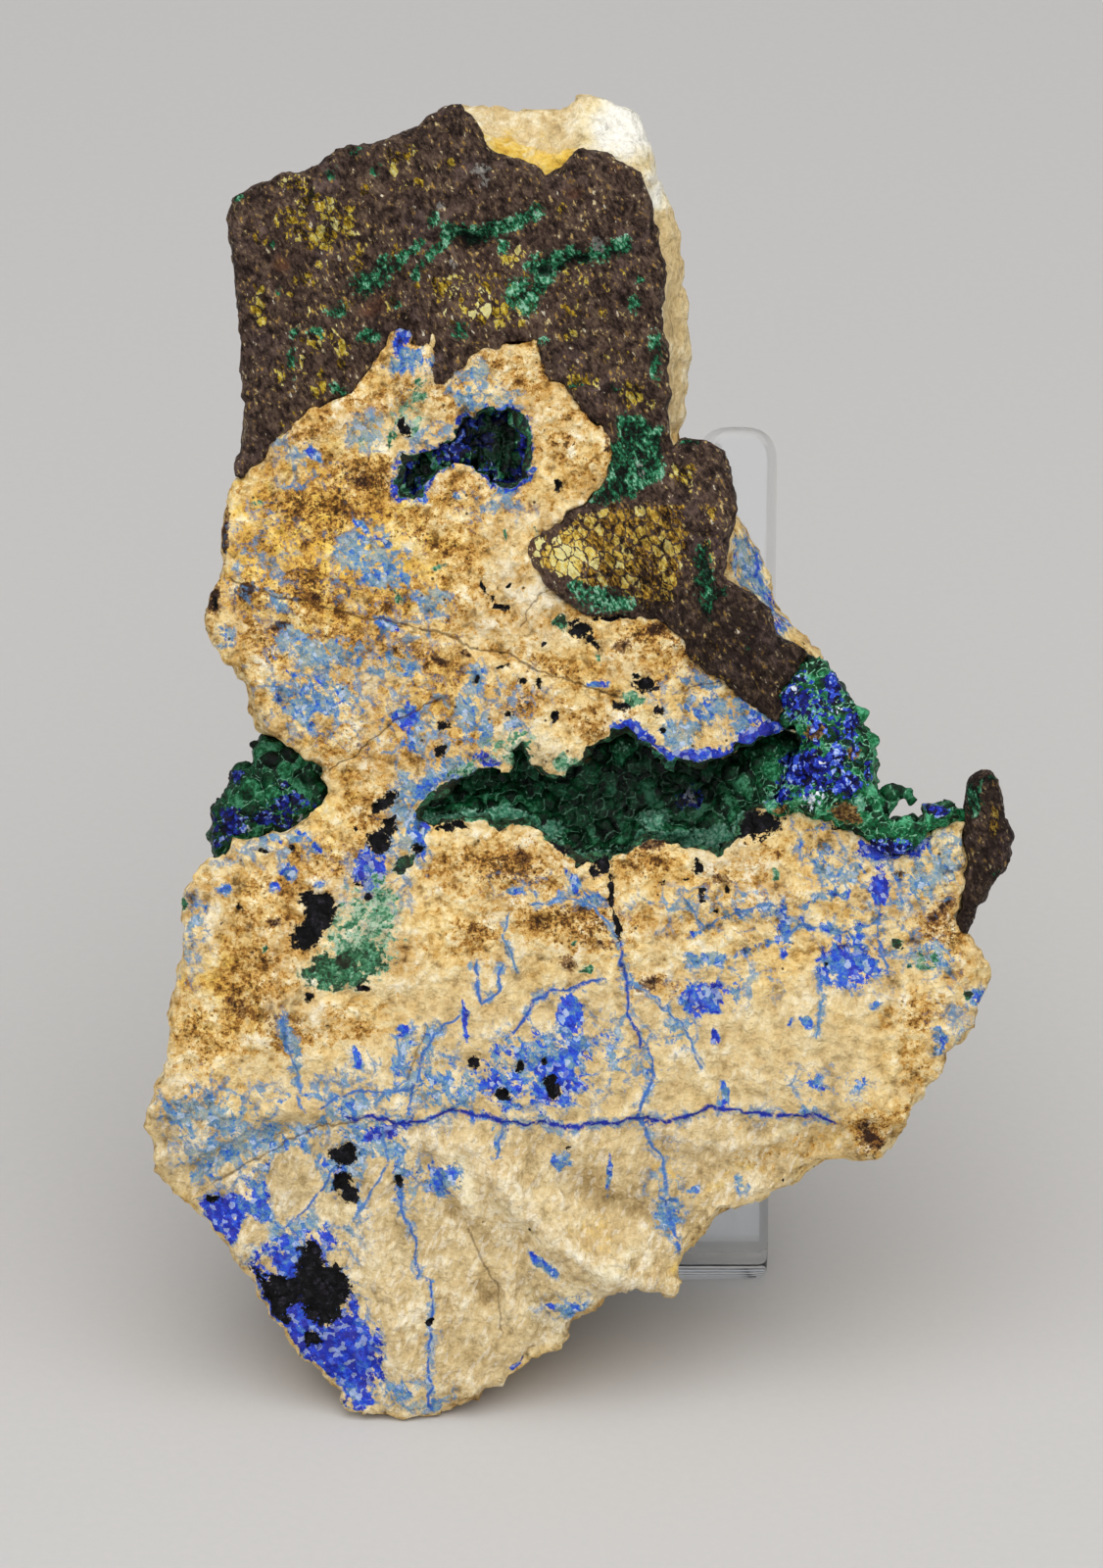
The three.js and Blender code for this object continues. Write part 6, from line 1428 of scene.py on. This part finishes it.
growths = (
    growth_piece(
        "malachite_vug_lining_balls", "malachite_vug_lining", "malachite",
        seed=3, voxel=0.27 * MM, smoothing=3, ball_sizes=(0.55, 1.25), extra=VUG_BALLS),
    growth_piece(
        "malachite_pit_druse_balls", "malachite_pit_druse", "pit_malachite",
        seed=5, voxel=0.22 * MM, smoothing=3, ball_sizes=(0.35, 0.7), extra=(*pit_rim_balls, *PIT_BALLS),
        crystals=(pit_rim_part, (0.35, 0.75))),
    growth_piece(
        "azurite_malachite_left_crystals", "azurite_malachite_cluster_left", "azurite_malachite_left",
        seed=7, voxel=0.25 * MM, smoothing=16, ball_sizes=(0.45, 1.2), crystals=(blue_part, (0.4, 0.75))),
    growth_piece(
        "azurite_malachite_right_crystals", "azurite_malachite_cluster_right", "azurite_malachite_right",
        seed=9, voxel=0.25 * MM, smoothing=16, ball_sizes=(0.4, 1.1), extra=HOOK_BALLS,
        crystals=(blue_part, (0.4, 0.8))),
)
for growth in growths:
    growth.data.materials.append(druse)

# ---- clear easel --------------------------------------------------------------------------------
# Clear acrylic, cut flat from 3 mm sheet with two round-topped arms, flame-polished along its edges
# and folded over a hot wire, so the bend is a smooth arc and the edges are slightly rounded.

# Sizes in mm. The slope is the rest's, up from the table.
SHEET = 3.0
BEND_RADIUS = 6.0
REST_SLOPE = math.radians(62.6)
FOOT_LENGTH, REST_LENGTH = 60.0, 90.4
MIDDLE_RADIUS = BEND_RADIUS - SHEET / 2
BEND_LENGTH = MIDDLE_RADIUS * (math.pi - REST_SLOPE)
HALF_FOOT, HALF_REST = 24.0, 25.7
ARM_WIDTH, ARM_ROOT, ARM_TAPER = 9.0, 44.0, 1.4
FOOT_CORNER, ARM_TIP, CROTCH = 3.0, 3.9, 6.0
EDGE_ROUND, EDGE_STEPS = 1.3, 5
BEND_STEPS = 20
SHARP_EDGE = math.radians(50)
easel_low, easel_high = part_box("clear_easel")
HEEL_Y = easel_high.y / MM
MIDDLE_X = (easel_low.x + easel_high.x) / 2 / MM


def rounded(corners, steps=7):
    """An outline through (x, y, radius) corners, each rounded off."""
    outline = []
    for index, (x, y, radius) in enumerate(corners):
        before = Vector(corners[index - 1][:2]) - Vector((x, y))
        after = Vector(corners[(index + 1) % len(corners)][:2]) - Vector((x, y))
        for step in range(steps):
            t = step / (steps - 1)
            start, end = before.normalized() * radius, after.normalized() * radius
            outline.append(Vector((x, y)) + start * (1 - t) ** 2 + end * t**2)
    return outline


# The flat blank, with its foot at 0 and its arms at the far end.
arm_top = FOOT_LENGTH + BEND_LENGTH + REST_LENGTH
root = FOOT_LENGTH + BEND_LENGTH + ARM_ROOT
inner_tip = HALF_REST - ARM_WIDTH
inner_root = HALF_REST - ARM_WIDTH - ARM_TAPER
blank = rounded((
    (-HALF_FOOT, 0, FOOT_CORNER), (HALF_FOOT, 0, FOOT_CORNER), (HALF_REST, arm_top, ARM_TIP),
    (inner_tip, arm_top, ARM_TIP), (inner_root, root, CROTCH), (-inner_root, root, CROTCH),
    (-inner_tip, arm_top, ARM_TIP), (-HALF_REST, arm_top, ARM_TIP)))
mesh = bpy.data.meshes.new("clear_easel_sheet")
mesh.from_pydata([(p.x, p.y, 0) for p in blank], [], [list(range(len(blank)))])
easel = bpy.data.objects.new("clear_easel_polished", mesh)
bpy.context.collection.objects.link(easel)
with editing(easel):
    for step in range(BEND_STEPS + 1):
        bpy.ops.mesh.select_all(action="SELECT")
        line = FOOT_LENGTH + BEND_LENGTH * step / BEND_STEPS
        bpy.ops.mesh.bisect(plane_co=(0, line, 0), plane_no=(0, 1, 0))
for vertex in mesh.vertices:
    x, t = vertex.co.x, vertex.co.y
    turn = min(max((t - FOOT_LENGTH) / MIDDLE_RADIUS, 0), math.pi - REST_SLOPE)
    past = max(t - FOOT_LENGTH - BEND_LENGTH, 0)
    y = HEEL_Y - min(t, FOOT_LENGTH) - MIDDLE_RADIUS * math.sin(turn) + past * math.cos(REST_SLOPE)
    z = BEND_RADIUS - MIDDLE_RADIUS * math.cos(turn) + past * math.sin(REST_SLOPE)
    vertex.co = Vector((x + MIDDLE_X, y, z)) * MM
mesh.update()
carve(easel, "SOLIDIFY", thickness=SHEET * MM, offset=0.0, use_even_offset=True)
carve(
    easel, "BEVEL", width=EDGE_ROUND * MM, segments=EDGE_STEPS, limit_method="ANGLE",
    angle_limit=SHARP_EDGE)
with editing(easel):
    bpy.ops.mesh.select_all(action="SELECT")
    bpy.ops.mesh.normals_make_consistent(inside=False)
bpy.ops.object.shade_smooth_by_angle(angle=math.radians(30))
carve(easel, "WEIGHTED_NORMAL", weight=100, keep_sharp=True)

# Acrylic is clear with a faint cool cast and fine handling scuffs that catch the light.
acrylic, tree = material("polished_clear_acrylic")
place = add(tree, "TexCoord").outputs["Object"]
scuff = add(tree, "TexNoise", {"Vector": place, "Scale": 260.0, "Detail": 4.0, "Roughness": 0.7})
cloudy = add(tree, "MapRange", scuff, 0.5, 0.8, 0.02, 0.16)
bump = add(tree, "Bump", {"Height": scuff, "Strength": 0.03, "Distance": 0.1 * MM})
finish = add(tree, "BsdfPrincipled", {
    "Base Color": "#f0f1f2", "Roughness": cloudy, "IOR": 1.49, "Transmission Weight": 1.0, "Normal": bump})
tint = add(tree, "VolumeAbsorption", {"Color": "#b2b6bc", "Density": 6.0})
add(tree, "OutputMaterial", {"Surface": finish, "Volume": tint})
easel.data.materials.append(acrylic)
easel.visible_shadow = False
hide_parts("clear_easel")
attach(easel, "root")
